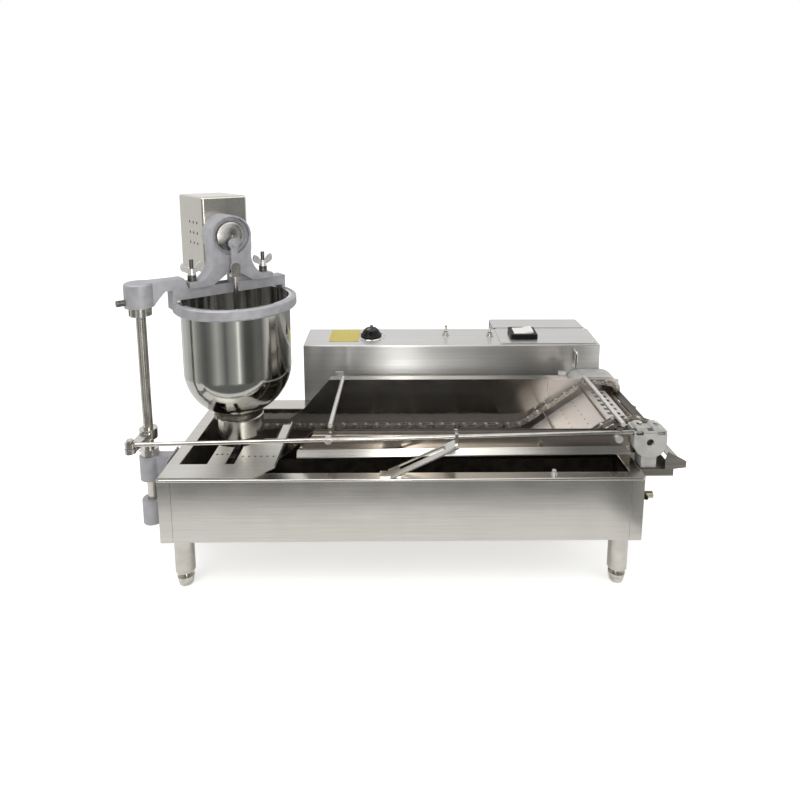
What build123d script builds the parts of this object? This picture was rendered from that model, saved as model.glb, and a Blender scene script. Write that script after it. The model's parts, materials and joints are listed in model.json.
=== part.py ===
"""Donut forming machine: a fryer tank with a pusher conveyor, a control box and a swinging forming head.

Drawn in millimetres: X to the right along the tank, Y back from its front panel, Z up from the floor.
The finished pieces are moved so that the origin lies at the bottom centre of the whole machine.
"""

import os
from math import atan2, cos, degrees, hypot, pi, radians, sin, tan

from build123d import *

# Fits: running fit on the radius, gap beside a moving piece, gap under a laid-on piece, overrun of a cut
RUN = 0.05
LOOSE = 0.3
TOUCH = 0.2
CUT = 1.0

# Tank: outer shell, wrapped end panels and the oil pan that hangs in it by its rim
TANK_LENGTH = 900.0
TANK_DEPTH = 350.0
TANK_HIGH = 128.0
TANK_BOTTOM = 110.0
RIM_THICK = 5.5
RIM_OVERHANG = 4.0
RIM_BACK_OVER = 1.0
RIM_FRONT = 19.0
RIM_SIDE = 20.0
RIM_BACK = 48.0
RIM_CORNER = 8.0
RIM_ROUND = 2.4
SHEET = 1.5
END_SHEET = 1.2
END_WRAP = 22.0
PAN_GAP = 3.0
HALF = TANK_LENGTH / 2
RIM_TOP = TANK_BOTTOM + TANK_HIGH
SHELL_TOP = RIM_TOP - RIM_THICK
PAN_X = HALF - RIM_SIDE
PAN_BACK = TANK_DEPTH - RIM_BACK
PAN_FLOOR = TANK_BOTTOM + PAN_GAP

# Heater loop on the pan floor
HEATER_R = 4.0
HEATER_LIFT = 8.0
HEATER_BEND = 28.0
HEATER_LEFT_IN = 50.0
HEATER_LEGS_IN = (134.0, 94.0)
HEATER_FRONT_IN = 36.0
HEATER_BACK_IN = 62.0
HEATER_Z = PAN_FLOOR + HEATER_LIFT

# Legs and screw feet
LEG_INSET = 28.0
LEG_SET = 36.0
LEG_R = 18.5
LEG_WALL = 2.0
LEG_PLUG = 18.0
FOOT_R = 13.0
FOOT_CHAMFER = 2.0
FOOT_SHOULDER_R = 16.0
FOOT_SHOULDER_Z = 19.0
FOOT_LAND = 3.0
FOOT_GAP = 11.0
FOOT_STEM_R = 6.0
FOOT_STEM_OVER = 18.0
LEG_X = HALF - LEG_INSET
LEG_Y = (LEG_SET, TANK_DEPTH - LEG_SET)
LEG_LOW = FOOT_SHOULDER_Z + FOOT_GAP

# Drain cock on the right end
DRAIN_Y = 60.0
DRAIN_LIFT = 55.0
DRAIN_R = 7.0
DRAIN_WALL = 2.0
DRAIN_OUT = 44.0
COCK_OUT = 16.0
COCK_R = 10.0
COCK_HALF = 8.0
COCK_LEVER = 34.0
COCK_BOSS_R = 7.0
COCK_BOSS = 6.0
COCK_GRIP_R = 5.0
COCK_GRIP_THICK = 3.0
DRAIN_Z = TANK_BOTTOM + DRAIN_LIFT
DRAIN_END = HALF + DRAIN_OUT
COCK_X = HALF + COCK_OUT

# Post and its two brackets on the left end
POST_OUT = 51.0
POST_BEFORE = 85.0
POST_Y = TANK_DEPTH / 2 - POST_BEFORE
POST_R = 9.0
POST_CHAMFER = 1.0
POST_GAP = 1.0
BRACKET_R = 20.0
BRACKET_WEB = 22.0
BRACKET_FLANGE = 8.0
BRACKET_WIDTH = 60.0
BRACKET_HIGH = 50.0
BRACKET_DROP = 13.0
BRACKET_PROUD = 2.0
BRACKET_FLOOR = 6.0
BOLT_R = 5.5
BOLT_HEAD = 4.0
BOLT_INSET = 8.0
COLLAR_R = 17.0
COLLAR_HIGH = 14.0
GRUB_R = 3.0
GRUB_OUT = 3.0
NUT_R = 20.5
NUT_HIGH = 17.0
NUT_NOTCH = 7.0
NUT_NOTCH_DEEP = 3.0
NUT_LAND = 4.0
POST_X = -HALF - POST_OUT
LOW_BRACKET = TANK_BOTTOM - BRACKET_DROP
HIGH_BRACKET = RIM_TOP + BRACKET_PROUD - BRACKET_HIGH
POST_LOW = LOW_BRACKET + BRACKET_FLOOR + POST_GAP

# Swing lever and the link rod it pushes
LEVER_RISE = 41.0
LEVER_THICK = 10.0
LEVER_HUB_R = 17.0
LEVER_HUB_UNDER = 4.0
LEVER_HUB_OVER = 6.0
LEVER_WIDE = 24.0
LEVER_NARROW = 16.0
LEVER_EYE_R = 10.0
LEVER_ASIDE = 4.0
LEVER_REACH = 69.0
PIN_R = 4.0
PIN_UNDER = 2.0
PIN_HEAD_R = 6.5
PIN_HEAD = 3.0
ROD_GAP = 1.0
ROD_R = 4.0
ROD_EYE_R = 9.5
ROD_EYE_HALF = 5.0
LEVER_LOW = RIM_TOP + LEVER_RISE
PIN_X = POST_X - LEVER_ASIDE
PIN_Y = POST_Y - LEVER_REACH
ROD_Z = LEVER_LOW + LEVER_THICK + ROD_GAP + ROD_EYE_HALF
PIN_TOP = ROD_Z + ROD_EYE_HALF + 2 * ROD_GAP

# Hopper axis; the head is drawn on it, with its X along the yoke and its Y to the yoke's back, and turned
HOPPER_IN = 107.5
HEAD_TURN = 40.0
HOPPER_X = -HALF + HOPPER_IN
HOPPER_Y = TANK_DEPTH / 2

# Nozzle, neck ring and hopper bowl, from the rim upwards
NOZZLE_LIFT = 8.0
NOZZLE_HIGH = 41.0
NOZZLE_R = 47.0
NOZZLE_WALL = 2.5
NOZZLE_BORE = 28.0
NOZZLE_LAND = 2.0
NECK_R = 46.0
NECK_HIGH = 14.0
NECK_CHAMFER = 2.5
NECK_LUG_OUT = 9.0
NECK_LUG_HALF = 7.0
NECK_LUG_INSET = 2.0
BOWL_R = 108.0
BOWL_WALL = 1.5
BOWL_NECK_R = 44.0
BOWL_HOLE_R = 30.0
BOWL_DOME = 92.0
BOWL_UPRIGHT = 144.0
BOWL_LIP = 5.6
BOWL_LIP_THICK = 3.0
NOZZLE_LOW = RIM_TOP + NOZZLE_LIFT
NECK_LOW = NOZZLE_LOW + NOZZLE_HIGH
BOWL_LOW = NECK_LOW + NECK_HIGH
BOWL_STRAIGHT = BOWL_LOW + BOWL_DOME
BOWL_SEAT = BOWL_STRAIGHT + BOWL_UPRIGHT

# Arm, ring and cross bar, one casting that clamps on the post
RING_GAP = 1.4
RING_WALL = 8.0
RING_HIGH = 22.0
RING_SEAT = 4.0
RING_CHAMFER = 3.0
SEAT_GAP = 0.4
PAD_HIGH = 14.0
BAR_Y = 30.0
BAR_HALF = 16.0
BAR_GAP = 5.0
BAR_HIGH = 21.0
ARM_RISE = 21.0
ARM_THICK = 21.0
ARM_HUB_R = 27.0
ARM_HUB_HIGH = 47.0
ARM_HUB_ROUND = 5.0
ARM_HAUNCH = (20.0, 42.0)
ARM_CAP = 6.0
CLAMP_R = 6.0
CLAMP_STEM_R = 3.6
CLAMP_LONG = 14.0
CLAMP_LIFT = 11.0
RING_IN = BOWL_R + RING_GAP
RING_SEAT_R = BOWL_R + BOWL_LIP + SEAT_GAP
RING_R = RING_SEAT_R + RING_WALL
RING_TOP = BOWL_SEAT + RING_SEAT
RING_LOW = RING_TOP - RING_HIGH
BAR_LOW = RING_TOP + BAR_GAP
BAR_TOP = BAR_LOW + BAR_HIGH
ARM_TOP = BAR_TOP + ARM_RISE
ARM_LOW = ARM_TOP - ARM_HUB_HIGH
POST_TOP = ARM_TOP - ARM_CAP
CLAMP_Z = ARM_LOW + CLAMP_LIFT

# Yoke, its studs, spacers and wing nuts
YOKE_FOOT = 89.0
YOKE_FOOT_HIGH = 11.0
YOKE_STEP_GAP = 1.0
YOKE_STEP_RUN = 8.0
YOKE_HALF = 42.0
YOKE_BARREL = 14.0
YOKE_WEB = 18.0
YOKE_POCKET = (46.0, 30.0)
YOKE_OVER = 6.0
YOKE_WAIST = 30.0
YOKE_FLARE = (7.0, 16.0)
WINDOW_OUT = 44.0
WINDOW_IN = 6.0
WINDOW_TOP = (14.0, 20.0)
WINDOW_BLIND = 10.0
STUD_U = 77.0
STUD_R = 4.0
STUD_OVER = 31.0
SPACER_R = 8.5
SPACER_HIGH = 12.0
SPACER_GAP = 2.0
WING_HUB_R = 8.0
WING_HUB_HIGH = 13.0
WING_TAPER = 2.0
WING_SPAN = 21.0
WING_HIGH = 26.0
WING_THICK = 4.0
YOKE_FOOT_TOP = BAR_TOP + YOKE_FOOT_HIGH
YOKE_FRONT = BAR_Y - BAR_HALF - YOKE_OVER
SPACER_TOP = YOKE_FOOT_TOP + SPACER_HIGH
STUD_TOP = SPACER_TOP + STUD_OVER

# Crank disc in the yoke's recess, connecting link and plunger
CRANK_RISE = 97.0
CRANK_R = 30.0
CRANK_RIM_GAP = 9.0
CRANK_RECESS = 10.0
CRANK_THICK = 5.6
CRANK_BACK_GAP = 0.4
CRANK_CHAMFER = 1.5
CRANK_SHAFT_R = 8.0
CRANK_THROW = 15.0
CRANK_GROOVE = (13.0, 24.0)
CRANK_DISH = 1.6
CRANK_EYE_R = 5.0
CRANK_EYE_DEEP = 3.0
LINK_LONG = 48.0
LINK_HALF = 3.0
LINK_EYE_R = 11.0
LINK_SMALL_R = 9.0
LINK_WIDE = 13.0
LINK_BOSS_R = 5.0
LINK_BOSS_OUT = 4.0
LINK_PIN_R = 3.0
CLEVIS_THICK = 3.5
CLEVIS_R = 9.5
CLEVIS_DROP = 19.0
CLEVIS_FLOOR = 1.0
PLUNGER_R = 5.0
PLUNGER_CONE = 12.0
PISTON_FIT = 0.4
PISTON_LIFT = 16.0
PISTON_HIGH = 20.0
FORMER_R = 24.0
FORMER_DROP = 10.0
FORMER_THICK = 4.0
FORMER_CONE = 6.0
FORMER_STEM_R = 8.0
CRANK_Z = BAR_TOP + CRANK_RISE
CRANK_BACK = YOKE_FRONT + CRANK_RECESS - CRANK_BACK_GAP
CRANK_FRONT = CRANK_BACK - CRANK_THICK
LINK_TOP_Z = CRANK_Z - CRANK_THROW
LINK_LOW_Z = LINK_TOP_Z - LINK_LONG
CLEVIS_LOW = LINK_LOW_Z - CLEVIS_DROP
PISTON_R = NOZZLE_BORE - PISTON_FIT
PISTON_LOW = NOZZLE_LOW + PISTON_LIFT
FORMER_LOW = NOZZLE_LOW - FORMER_DROP

# Head motor cover and the gear motor in it
COVER_U = (-38.5, 59.5)
COVER_DEEP = 132.0
COVER_LIFT = 16.0
COVER_HIGH = 159.0
COVER_WALL = 2.0
COVER_ROUND = 5.0
VENT_R = 3.0
VENT_PITCH = (20.0, 22.0)
VENT_IN = 52.0
GEAR_HALF = 32.0
GEAR_LONG = 48.0
GEAR_DROP = 36.0
GEAR_RISE = 38.0
MOTOR_R = 33.0
MOTOR_END_GAP = 10.0
COVER_FRONT = BAR_Y + BAR_HALF + YOKE_BARREL
COVER_LOW = BAR_TOP + COVER_LIFT

# Drip deck under the nozzle, laid on the pan's rim
DECK_THICK = 1.8
DECK_REACH = 100.5
DECK_FRONT = 2.0
DECK_CORNER = 34.0
DECK_STRIP = 49.0
DECK_BACK = 39.0
DECK_TONGUE = 20.0
DECK_MIDDLE = 25.0
DECK_SIDE = 32.5
DECK_HOLE_R = 60.0
DECK_LIP_HIGH = 9.0
DECK_LIP_THICK = 2.0
DECK_NOTCH = (1.5, 18.0)
DECK_NOTCH_DEEP = 71.0
DECK_DRAIN_R = 2.6
DECK_DRAIN_COUNTS = (6, 3)
DECK_DRAIN_ROWS = ((28.5, 12.0, 78.0), (-24.5, 10.0, 86.0))
DECK_LOW = RIM_TOP + TOUCH
DECK_RIGHT = HOPPER_X + DECK_REACH

# Conveyor side plates and the rail folded on the front one
PLATE = 2.0
PLATE_BACK_GAP = 7.0
PLATE_SPAN = 211.0
PLATE_LIFT = 15.0
PLATE_END_GAP = 6.0
PLATE_OVER = 3.0
PLATE_FOOT_HALF = 16.0
PLATE_FEET_IN = (180.0, 220.0)
PLATE_OUT = 28.0
LOW_ARM_UNDER = 24.0
LOW_ARM_STEP = (30.0, 20.0)
RAIL_LIFT = 14.0
RAIL_HIGH = 39.5
RAIL_WIDE = 22.0
RAIL_ROUND = 8.0
RAIL_START = 137.5
RAIL_SLANT = 33.0
BACK_RISE = 73.0
BACK_FLANGE = 23.0
BACK_FLANGE_IN = (35.0, 58.0)
RAIL_FOOT_IN = (42.0, 18.0)
TIE_IN = (204.5, 52.0)
TIE_R = 4.5
TIE_OUT = 12.0
SADDLE_HALF = 6.0
SADDLE_IN = 4.0
THUMB_R = 7.5
THUMB_LONG = 9.0
THUMB_ASIDE = 5.0
THUMB_LIFT = 11.5
WING_SCREW_R = 3.0
WING_SCREW_HIGH = 15.0
WING_SCREW_NECK = 6.0
WING_SCREW_HALF = 9.0
WING_SCREW_THICK = 4.0
WING_SCREW_AT = (9.0, 12.0)
RIM_STUD_AT = (284.0, 10.0)
RIM_STUD_R = 4.0
RIM_STUD_HIGH = 9.0
RIM_STUD_BASE = (6.0, 3.0)
BACK_PLATE_Y = PAN_BACK - PLATE_BACK_GAP
FRONT_PLATE_Y = BACK_PLATE_Y - PLATE_SPAN
HEATER_FRONT = FRONT_PLATE_Y + HEATER_FRONT_IN
PLATE_LOW = PAN_FLOOR + PLATE_LIFT
RAIL_FRONT = FRONT_PLATE_Y + PLATE - RAIL_WIDE
RAIL_LOW = RIM_TOP + RAIL_LIFT
RAIL_TOP = RAIL_LOW + RAIL_HIGH
RAIL_LEFT = HOPPER_X + RAIL_START
BACK_TOP = RIM_TOP + BACK_RISE

# Chain path and sprockets: a low run through the oil, a rise to the drive shaft and a return under it
CHAIN_PITCH = 25.4
CHAIN_IN = 9.5
SPROCKET_TEETH = 6
SPROCKET_HALF = 3.0
SPROCKET_ROOT = 15.5
SPROCKET_HUB_R = 11.0
IDLER_IN = 62.0
IDLER_DROP = 61.0
IDLER_SHAFT_R = 7.0
IDLER_COLLAR = 4.0
IDLER_COLLAR_LONG = 6.0
IDLER_OUT = 8.0
DRIVE_OUT = 28.0
DRIVE_RISE = 43.0
DRIVE_SHAFT_R = 7.0
RAMP_ANGLE = 36.0
RAMP_BACK = 203.0
RETURN_BACK = 68.0
BEND_R = 40.0
ROLLER_R = 4.0
ROLLER_SIDES = 6
ROLLER_HALF = 3.4
LINK_PLATE = 1.5
LINK_GAP = 0.2
LINK_HIGH = 8.0
LINK_OVER = 4.0
FLIGHT_EVERY = 4
FLIGHT_AHEAD = 47.5
FLIGHT_IN = 12.5
FLIGHT_OUT = 4.5
FLIGHT_THICK = 2.0
GUIDE_GAP = 0.5
GUIDE_THICK = 3.0
GUIDE_IN = (53.0, 17.0)
SPROCKET_PITCH_R = CHAIN_PITCH / (2 * sin(pi / SPROCKET_TEETH))
SPROCKET_TIP = SPROCKET_PITCH_R - ROLLER_R - 2 * LOOSE
CHAIN_Y = (FRONT_PLATE_Y + PLATE + CHAIN_IN, BACK_PLATE_Y - CHAIN_IN)
CHAIN_HALF = ROLLER_HALF + 2 * LINK_PLATE + LINK_GAP
FLIGHT_Y = (CHAIN_Y[0] + CHAIN_HALF + LINK_GAP, CHAIN_Y[1] - CHAIN_HALF - LINK_GAP)
IDLER_X = -HALF + IDLER_IN
IDLER_Z = RIM_TOP - IDLER_DROP
DRIVE_X = HALF + DRIVE_OUT
DRIVE_Z = RIM_TOP + DRIVE_RISE
UPPER_RUN = IDLER_Z + SPROCKET_PITCH_R
LOWER_RUN = IDLER_Z - SPROCKET_PITCH_R
TOP_RUN = DRIVE_Z + SPROCKET_PITCH_R
END_RETURN = DRIVE_Z - SPROCKET_PITCH_R
SLOPE = radians(RAMP_ANGLE)
RAMP_FOOT_X = DRIVE_X - RAMP_BACK
RAMP_HEAD_X = RAMP_FOOT_X + (TOP_RUN - UPPER_RUN) / tan(SLOPE)
RETURN_X = DRIVE_X - RETURN_BACK
RETURN_FOOT_X = RETURN_X - (END_RETURN - LOWER_RUN) / tan(SLOPE)
GUIDE_TOP = UPPER_RUN - LINK_HIGH / 2 - GUIDE_GAP
GUIDE_X = (IDLER_X + GUIDE_IN[0], RAMP_FOOT_X - GUIDE_IN[1])

# Exit ramp between the chains, with its slotted end, and the turner flap between two flights
RAMP_DROP = 17.0
RAMP_THICK = 2.0
RAMP_SIDE_GAP = 1.5
RAMP_LEAD = 39.0
RAMP_STOP = 10.0
SLOT_ROWS_IN = (35.0, 17.0)
SLOT_COUNT = 8
SLOT = (9.0, 11.0)
RAMP_DRAINS = (4, 8)
RAMP_DRAIN_R = 1.6
RAMP_DRAIN_EDGE = 0.7
TURNER_X = -18.0
TURNER_DROP = 26.4
TURNER_R = 5.0
TURNER_OUT = 4.0
TURNER_BLADE = 45.0
TURNER_THICK = 2.5
TURNER_LIFT = 1.5
TURNER_SIDE_GAP = 4.0
TURNER_SLOTS = 5
TURNER_SLOT = 12.0
TURNER_EDGE = (8.0, 12.0)
TURNER_Z = UPPER_RUN - TURNER_DROP

# End housing with its split cap, drive case, drip shelf and chute at the right end
END_HALF = 32.0
END_LONG = 37.6
END_GAP = 0.4
END_SHAFT_IN = 6.0
END_SPLIT_RISE = 18.0
END_CAP_HIGH = 5.0
END_CAP_INSET = 2.0
END_HUMP_HIGH = 8.0
END_HUMP_FLAT = 1.0
END_HUMP_R = 11.0
END_HUMP_AT = 16.0
END_NECK_HALF = 15.0
END_NECK_INSET = 3.0
END_NECK_SINK = 6.0
SPLIT_SLOT = (14.0, 28.0)
SPLIT_SLOT_DEEP = 6.0
SPLIT_SLOT_Z = (3.0, 4.0)
ROD_STOP = 6.0
ROD_IN = 9.0
ROD_SLOT_UNDER = 6.0
ROD_SLOT_OVER = 7.0
ROD_SLOT_END = 14.0
CASE_LONG = 48.0
CASE_R = 35.0
CASE_WALL = 4.0
CASE_FACE = 14.0
CASE_GAPS = (1.0, 0.9)
CASE_BORE_IN = 14.6
SHELF_DROP = 10.0
SHELF_REACH = 47.0
SHELF_THICK = 2.0
SHELF_LIP = 14.0
SHELF_FLANGE = 36.0
SHELF_IN = (44.0, 30.0)
CHUTE_AT = (36.0, 26.0)
CHUTE_RUN = (35.0, -19.0)
CHUTE_THICK = 2.5
CHUTE_REACH = 40.0
CHUTE_GAP = 5.0
CHUTE_CHEEK = 9.0
CHUTE_CHEEK_BACK = (6.0, 8.0)
CHUTE_CHEEK_TOE = 4.0
END_Y = (FRONT_PLATE_Y - END_GAP - END_LONG, FRONT_PLATE_Y - END_GAP)
END_SPLIT = DRIVE_Z + END_SPLIT_RISE
END_CAP_TOP = END_SPLIT + END_CAP_HIGH
END_HUMP = END_CAP_TOP + END_HUMP_HIGH
RAIL_RIGHT = DRIVE_X - END_HALF
TIE_X = (HOPPER_X + TIE_IN[0], DRIVE_X - TIE_IN[1])
TIE_Z = BACK_TOP + TIE_R + TOUCH
TIE_FRONT = RAIL_FRONT - TIE_OUT
BACK_FLANGE_X = (RAIL_LEFT + BACK_FLANGE_IN[0], RAIL_RIGHT - BACK_FLANGE_IN[1])
ROD_END_X = DRIVE_X - ROD_STOP
ROD_END_Y = END_Y[0] + ROD_IN
ROD_END_Z = END_SPLIT
CASE_X = DRIVE_X - CASE_LONG
SHELF_TOP = RIM_TOP - SHELF_DROP
SHELF_END = DRIVE_X + SHELF_REACH
SHELF_Y = (SHELF_IN[0], TANK_DEPTH - SHELF_IN[1])
CHUTE_Y = (FRONT_PLATE_Y - CHUTE_REACH, BACK_PLATE_Y + PLATE - CHUTE_GAP)

# Rod rest standing on the front rim: a sloping slotted strip that ends in a fork round the rod
REST_X = 100.0
REST_RUN = 124.0
REST_FORK = 6.0
REST_HALF = 11.0
REST_NOTCH_HALF = 7.0
REST_FORK_UNDER = 14.0
REST_FORK_OVER = 10.5
REST_STRIP_UNDER = 7.0
REST_STRIP_ASIDE = 4.0
REST_FOOT_Y = 11.0
REST_FOOT_HALF = 9.0
REST_FOOT_X = (18.0, 22.0)
REST_WIDE = 31.0
REST_THICK = 3.0
REST_SLOT = (62.0, 10.0)
REST_SLOT_START = 50.0
REST_SHARE = (REST_X - PIN_X) / (ROD_END_X - PIN_X)
REST_ROD_Y = PIN_Y + (ROD_END_Y - PIN_Y) * REST_SHARE
REST_ROD_Z = ROD_Z + (ROD_END_Z - ROD_Z) * REST_SHARE

# Control box behind the tank, its sloping panel and the motor cover behind it
BOX_GAP = 1.5
BOX_LONG = 716.0
BOX_OVER = 28.0
BOX_DEEP = 106.5
BOX_LIFT = 55.0
BOX_ABOVE_RIM = 137.0
BOX_RISE = 9.0
BOX_ROUND = 4.0
BOX_BASE_UP = 4.0
BACK_COVER_LONG = 237.0
BACK_COVER_IN = 7.0
BACK_COVER_DEEP = 77.0
BACK_COVER_UNDER = 35.0
BACK_COVER_OVER = 11.0
BACK_COVER_ROUND = 6.0
LOUVRE = (60.0, 5.0)
LOUVRE_ROWS = 4
LOUVRE_PITCH = 18.0
LOUVRE_LIFT = 60.0
LOUVRE_ASIDE = 48.0
GLAND_AT = (30.0, 24.0)
GLAND_R = 11.0
GLAND_HEX = 7.0
GLAND_STEP = 2.0
GLAND_LONG = 22.0
GLAND_BORE = 4.5
DRIVE_GEAR_IN = (71.0, 9.0)
DRIVE_GEAR_HALF = 36.0
DRIVE_MOTOR_IN = 22.0
DRIVE_MOTOR_RISE = 5.0
DRIVE_MOTOR_R = 33.0
DRIVE_MOTOR_GAP = 6.0
BOX_X = (HALF + BOX_OVER - BOX_LONG, HALF + BOX_OVER)
BOX_Y = (TANK_DEPTH + BOX_GAP, TANK_DEPTH + BOX_GAP + BOX_DEEP)
BOX_Z = (TANK_BOTTOM + BOX_LIFT, RIM_TOP + BOX_ABOVE_RIM)
BACK_COVER_X = (BOX_X[1] - BACK_COVER_IN - BACK_COVER_LONG, BOX_X[1] - BACK_COVER_IN)
BACK_COVER_Y = BOX_Y[1] + BACK_COVER_DEEP
BACK_COVER_Z = (BOX_Z[0] + BACK_COVER_UNDER, BOX_Z[1] + BACK_COVER_OVER)
DRIVE_MOTOR_Z = DRIVE_Z + DRIVE_MOTOR_RISE
CASE_Y = (BACK_PLATE_Y + PLATE + CASE_GAPS[0], BOX_Y[0] - CASE_GAPS[1])
CASE_BORE_END = CASE_Y[1] - CASE_BORE_IN
PANEL_TILT = degrees(atan2(BOX_RISE, BOX_DEEP))
PANEL_MIDDLE = hypot(BOX_RISE, BOX_DEEP) / 2

# What sits on the panel, by its distance from the box's left end and up the slope, and the pull handle
SWITCH_PLATE_IN = (476.0, 712.0)
SWITCH_PLATE_EDGE = 5.0
SWITCH_PLATE_ROUND = 4.0
SWITCH_PLATE_THICK = 2.5
KNOB_AT = (160.0, PANEL_MIDDLE)
KNOB_R = 26.0
KNOB_SKIRT = 4.0
KNOB_WAIST = 8.0
KNOB_STEP = 4.0
KNOB_TAPER = 3.0
KNOB_CROWN = 4.0
KNOB_HIGH = 21.0
KNOB_GRIP = 7.0
KNOB_GRIP_OVER = 1.5
KNOB_SPINDLE_R = 3.0
KNOB_SPINDLE_DEEP = 12.0
KNOB_HOLE_GAP = 1.0
BEZEL_R = 27.5
BEZEL_THICK = 2.0
BEZEL_CHAMFER = 1.5
SWITCH_AT = (538.0, PANEL_MIDDLE)
SWITCH_SIZE = (66.0, 54.0)
SWITCH_OPEN = (50.0, 40.0)
SWITCH_HIGH = 13.0
SWITCH_FLOOR = 1.0
SWITCH_ROUND = 4.0
SWITCH_CHAMFER = 1.5
ROCKER_GAP = 1.2
ROCKER_AXIS = 11.5
ROCKER_TILT = 7.0
ROCKER_V = 2.5
ROCKER_OVER = 5.0
ROCKER_UNDER = 1.0
TOGGLE_AT = ((347.0, PANEL_MIDDLE + 12.0), (457.0, PANEL_MIDDLE + 6.0))
TOGGLE_R = 6.5
TOGGLE_NUT = 3.0
TOGGLE_BORE = 4.6
TOGGLE_NECK = 9.0
TOGGLE_AXIS = 4.0
TOGGLE_TOP = 27.0
TOGGLE_TILT = 12.0
TOGGLE_STEM_R = 2.2
TOGGLE_TIP_R = 3.4
TOGGLE_TIP = 3.0
BLANK_AT = (94.5, PANEL_MIDDLE + 6.0)
BLANK_SIZE = (73.0, 74.0)
BLANK_THICK = 1.0
HANDLE_IN = 59.0
HANDLE_DROP = (53.0, 15.0)
HANDLE_R = 3.0
HANDLE_REACH = 12.0
HANDLE_BEND = 5.0
HANDLE_X = BOX_X[1] - HANDLE_IN

# The head's place, and the post as seen from it
HEAD = Pos(HOPPER_X, HOPPER_Y, 0) * Rot(0, 0, HEAD_TURN)
TURN = radians(HEAD_TURN)
POST_U = (POST_X - HOPPER_X) * cos(TURN) + (POST_Y - HOPPER_Y) * sin(TURN)
POST_V = (POST_Y - HOPPER_Y) * cos(TURN) - (POST_X - HOPPER_X) * sin(TURN)


def block(x0, x1, y0, y1, z0, z1):
    middle = Pos((x0 + x1) / 2, (y0 + y1) / 2, (z0 + z1) / 2)
    return middle * Box(abs(x1 - x0), abs(y1 - y0), abs(z1 - z0))


def bar_x(y, z, r, x0, x1):
    return Pos((x0 + x1) / 2, y, z) * Rot(0, 90, 0) * Cylinder(r, abs(x1 - x0))


def bar_y(x, z, r, y0, y1):
    return Pos(x, (y0 + y1) / 2, z) * Rot(90, 0, 0) * Cylinder(r, abs(y1 - y0))


def bar_z(x, y, r, z0, z1):
    return Pos(x, y, (z0 + z1) / 2) * Cylinder(r, abs(z1 - z0))


def outline(points):
    """Closed outline; a point of four numbers is reached by an arc through its first two."""
    here = points[0][-2:]
    edges = []
    for point in list(points[1:]) + [points[0]]:
        there = point[-2:]
        if len(point) == 4:
            edges.append(ThreePointArc(here, point[:2], there))
        else:
            edges.append(Line(here, there))
        here = there
    return make_face(edges)


def prism_x(points, x0, x1):
    return extrude(Plane((x0, 0, 0), x_dir=(0, 1, 0), z_dir=(1, 0, 0)) * outline(points), x1 - x0)


def prism_y(points, y0, y1):
    return extrude(Plane((0, y1, 0), x_dir=(1, 0, 0), z_dir=(0, -1, 0)) * outline(points), y1 - y0)


def prism_z(points, z0, z1):
    return extrude(Plane((0, 0, z0)) * outline(points), z1 - z0)


def turned(points):
    """A profile of radius and height turned about the vertical axis."""
    return revolve(Plane.XZ * outline(points), Axis.Z)


def group(pieces):
    return Compound(children=list(pieces))


# Tank
def drain_hole():
    return bar_x(DRAIN_Y, DRAIN_Z, DRAIN_R + LOOSE, PAN_X + SHEET, HALF + END_SHEET + CUT)


def tank_shell():
    body = block(-HALF, HALF, 0, TANK_DEPTH, TANK_BOTTOM, SHELL_TOP)
    body -= block(-HALF + SHEET, HALF - SHEET, SHEET, TANK_DEPTH - SHEET, TANK_BOTTOM + SHEET, RIM_TOP)
    return body - drain_hole()


def end_panels():
    pieces = []
    for side in (-1, 1):
        outer = block(
            side * (HALF - END_WRAP), side * (HALF + END_SHEET),
            -END_SHEET, TANK_DEPTH + END_SHEET, TANK_BOTTOM, SHELL_TOP,
        )
        outer -= block(-HALF, HALF, 0, TANK_DEPTH, 0, RIM_TOP)
        pieces.append(outer - drain_hole())
    return group(pieces)


def oil_pan():
    rim_x = HALF + RIM_OVERHANG
    flange = block(-rim_x, rim_x, -RIM_OVERHANG, TANK_DEPTH + RIM_BACK_OVER, SHELL_TOP, RIM_TOP)
    flange = fillet(flange.edges().filter_by(Axis.Z), RIM_CORNER)
    flange = fillet(flange.faces().sort_by(Axis.Z)[-1].edges(), RIM_ROUND)
    body = flange + block(-PAN_X, PAN_X, RIM_FRONT, PAN_BACK, PAN_FLOOR, RIM_TOP - RIM_THICK / 2)
    return body - block(
        -PAN_X + SHEET, PAN_X - SHEET, RIM_FRONT + SHEET, PAN_BACK - SHEET, PAN_FLOOR + SHEET, RIM_TOP + CUT
    )


def heater():
    first, second = (PAN_X - inset for inset in HEATER_LEGS_IN)
    left, back = -PAN_X + HEATER_LEFT_IN, PAN_BACK - HEATER_BACK_IN
    wall = PAN_BACK - SHEET - TOUCH
    corners = [(first, back), (left, back), (left, HEATER_FRONT), (second, HEATER_FRONT)]
    route = [(first, wall), *corners, (second, wall)]
    path = FilletPolyline(*[(x, y, HEATER_Z) for x, y in route], radius=HEATER_BEND)
    return sweep(Plane((first, wall, HEATER_Z), z_dir=(0, -1, 0)) * Circle(HEATER_R), path)


def legs():
    pieces = []
    for x in (-LEG_X, LEG_X):
        for y in LEG_Y:
            tube = bar_z(x, y, LEG_R, LEG_LOW, TANK_BOTTOM)
            tube -= bar_z(x, y, LEG_R - LEG_WALL, LEG_LOW + LEG_PLUG, TANK_BOTTOM + CUT)
            tube -= bar_z(x, y, FOOT_STEM_R + LOOSE, LEG_LOW - CUT, TANK_BOTTOM)
            pieces.append(tube)
    return group(pieces)


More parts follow.
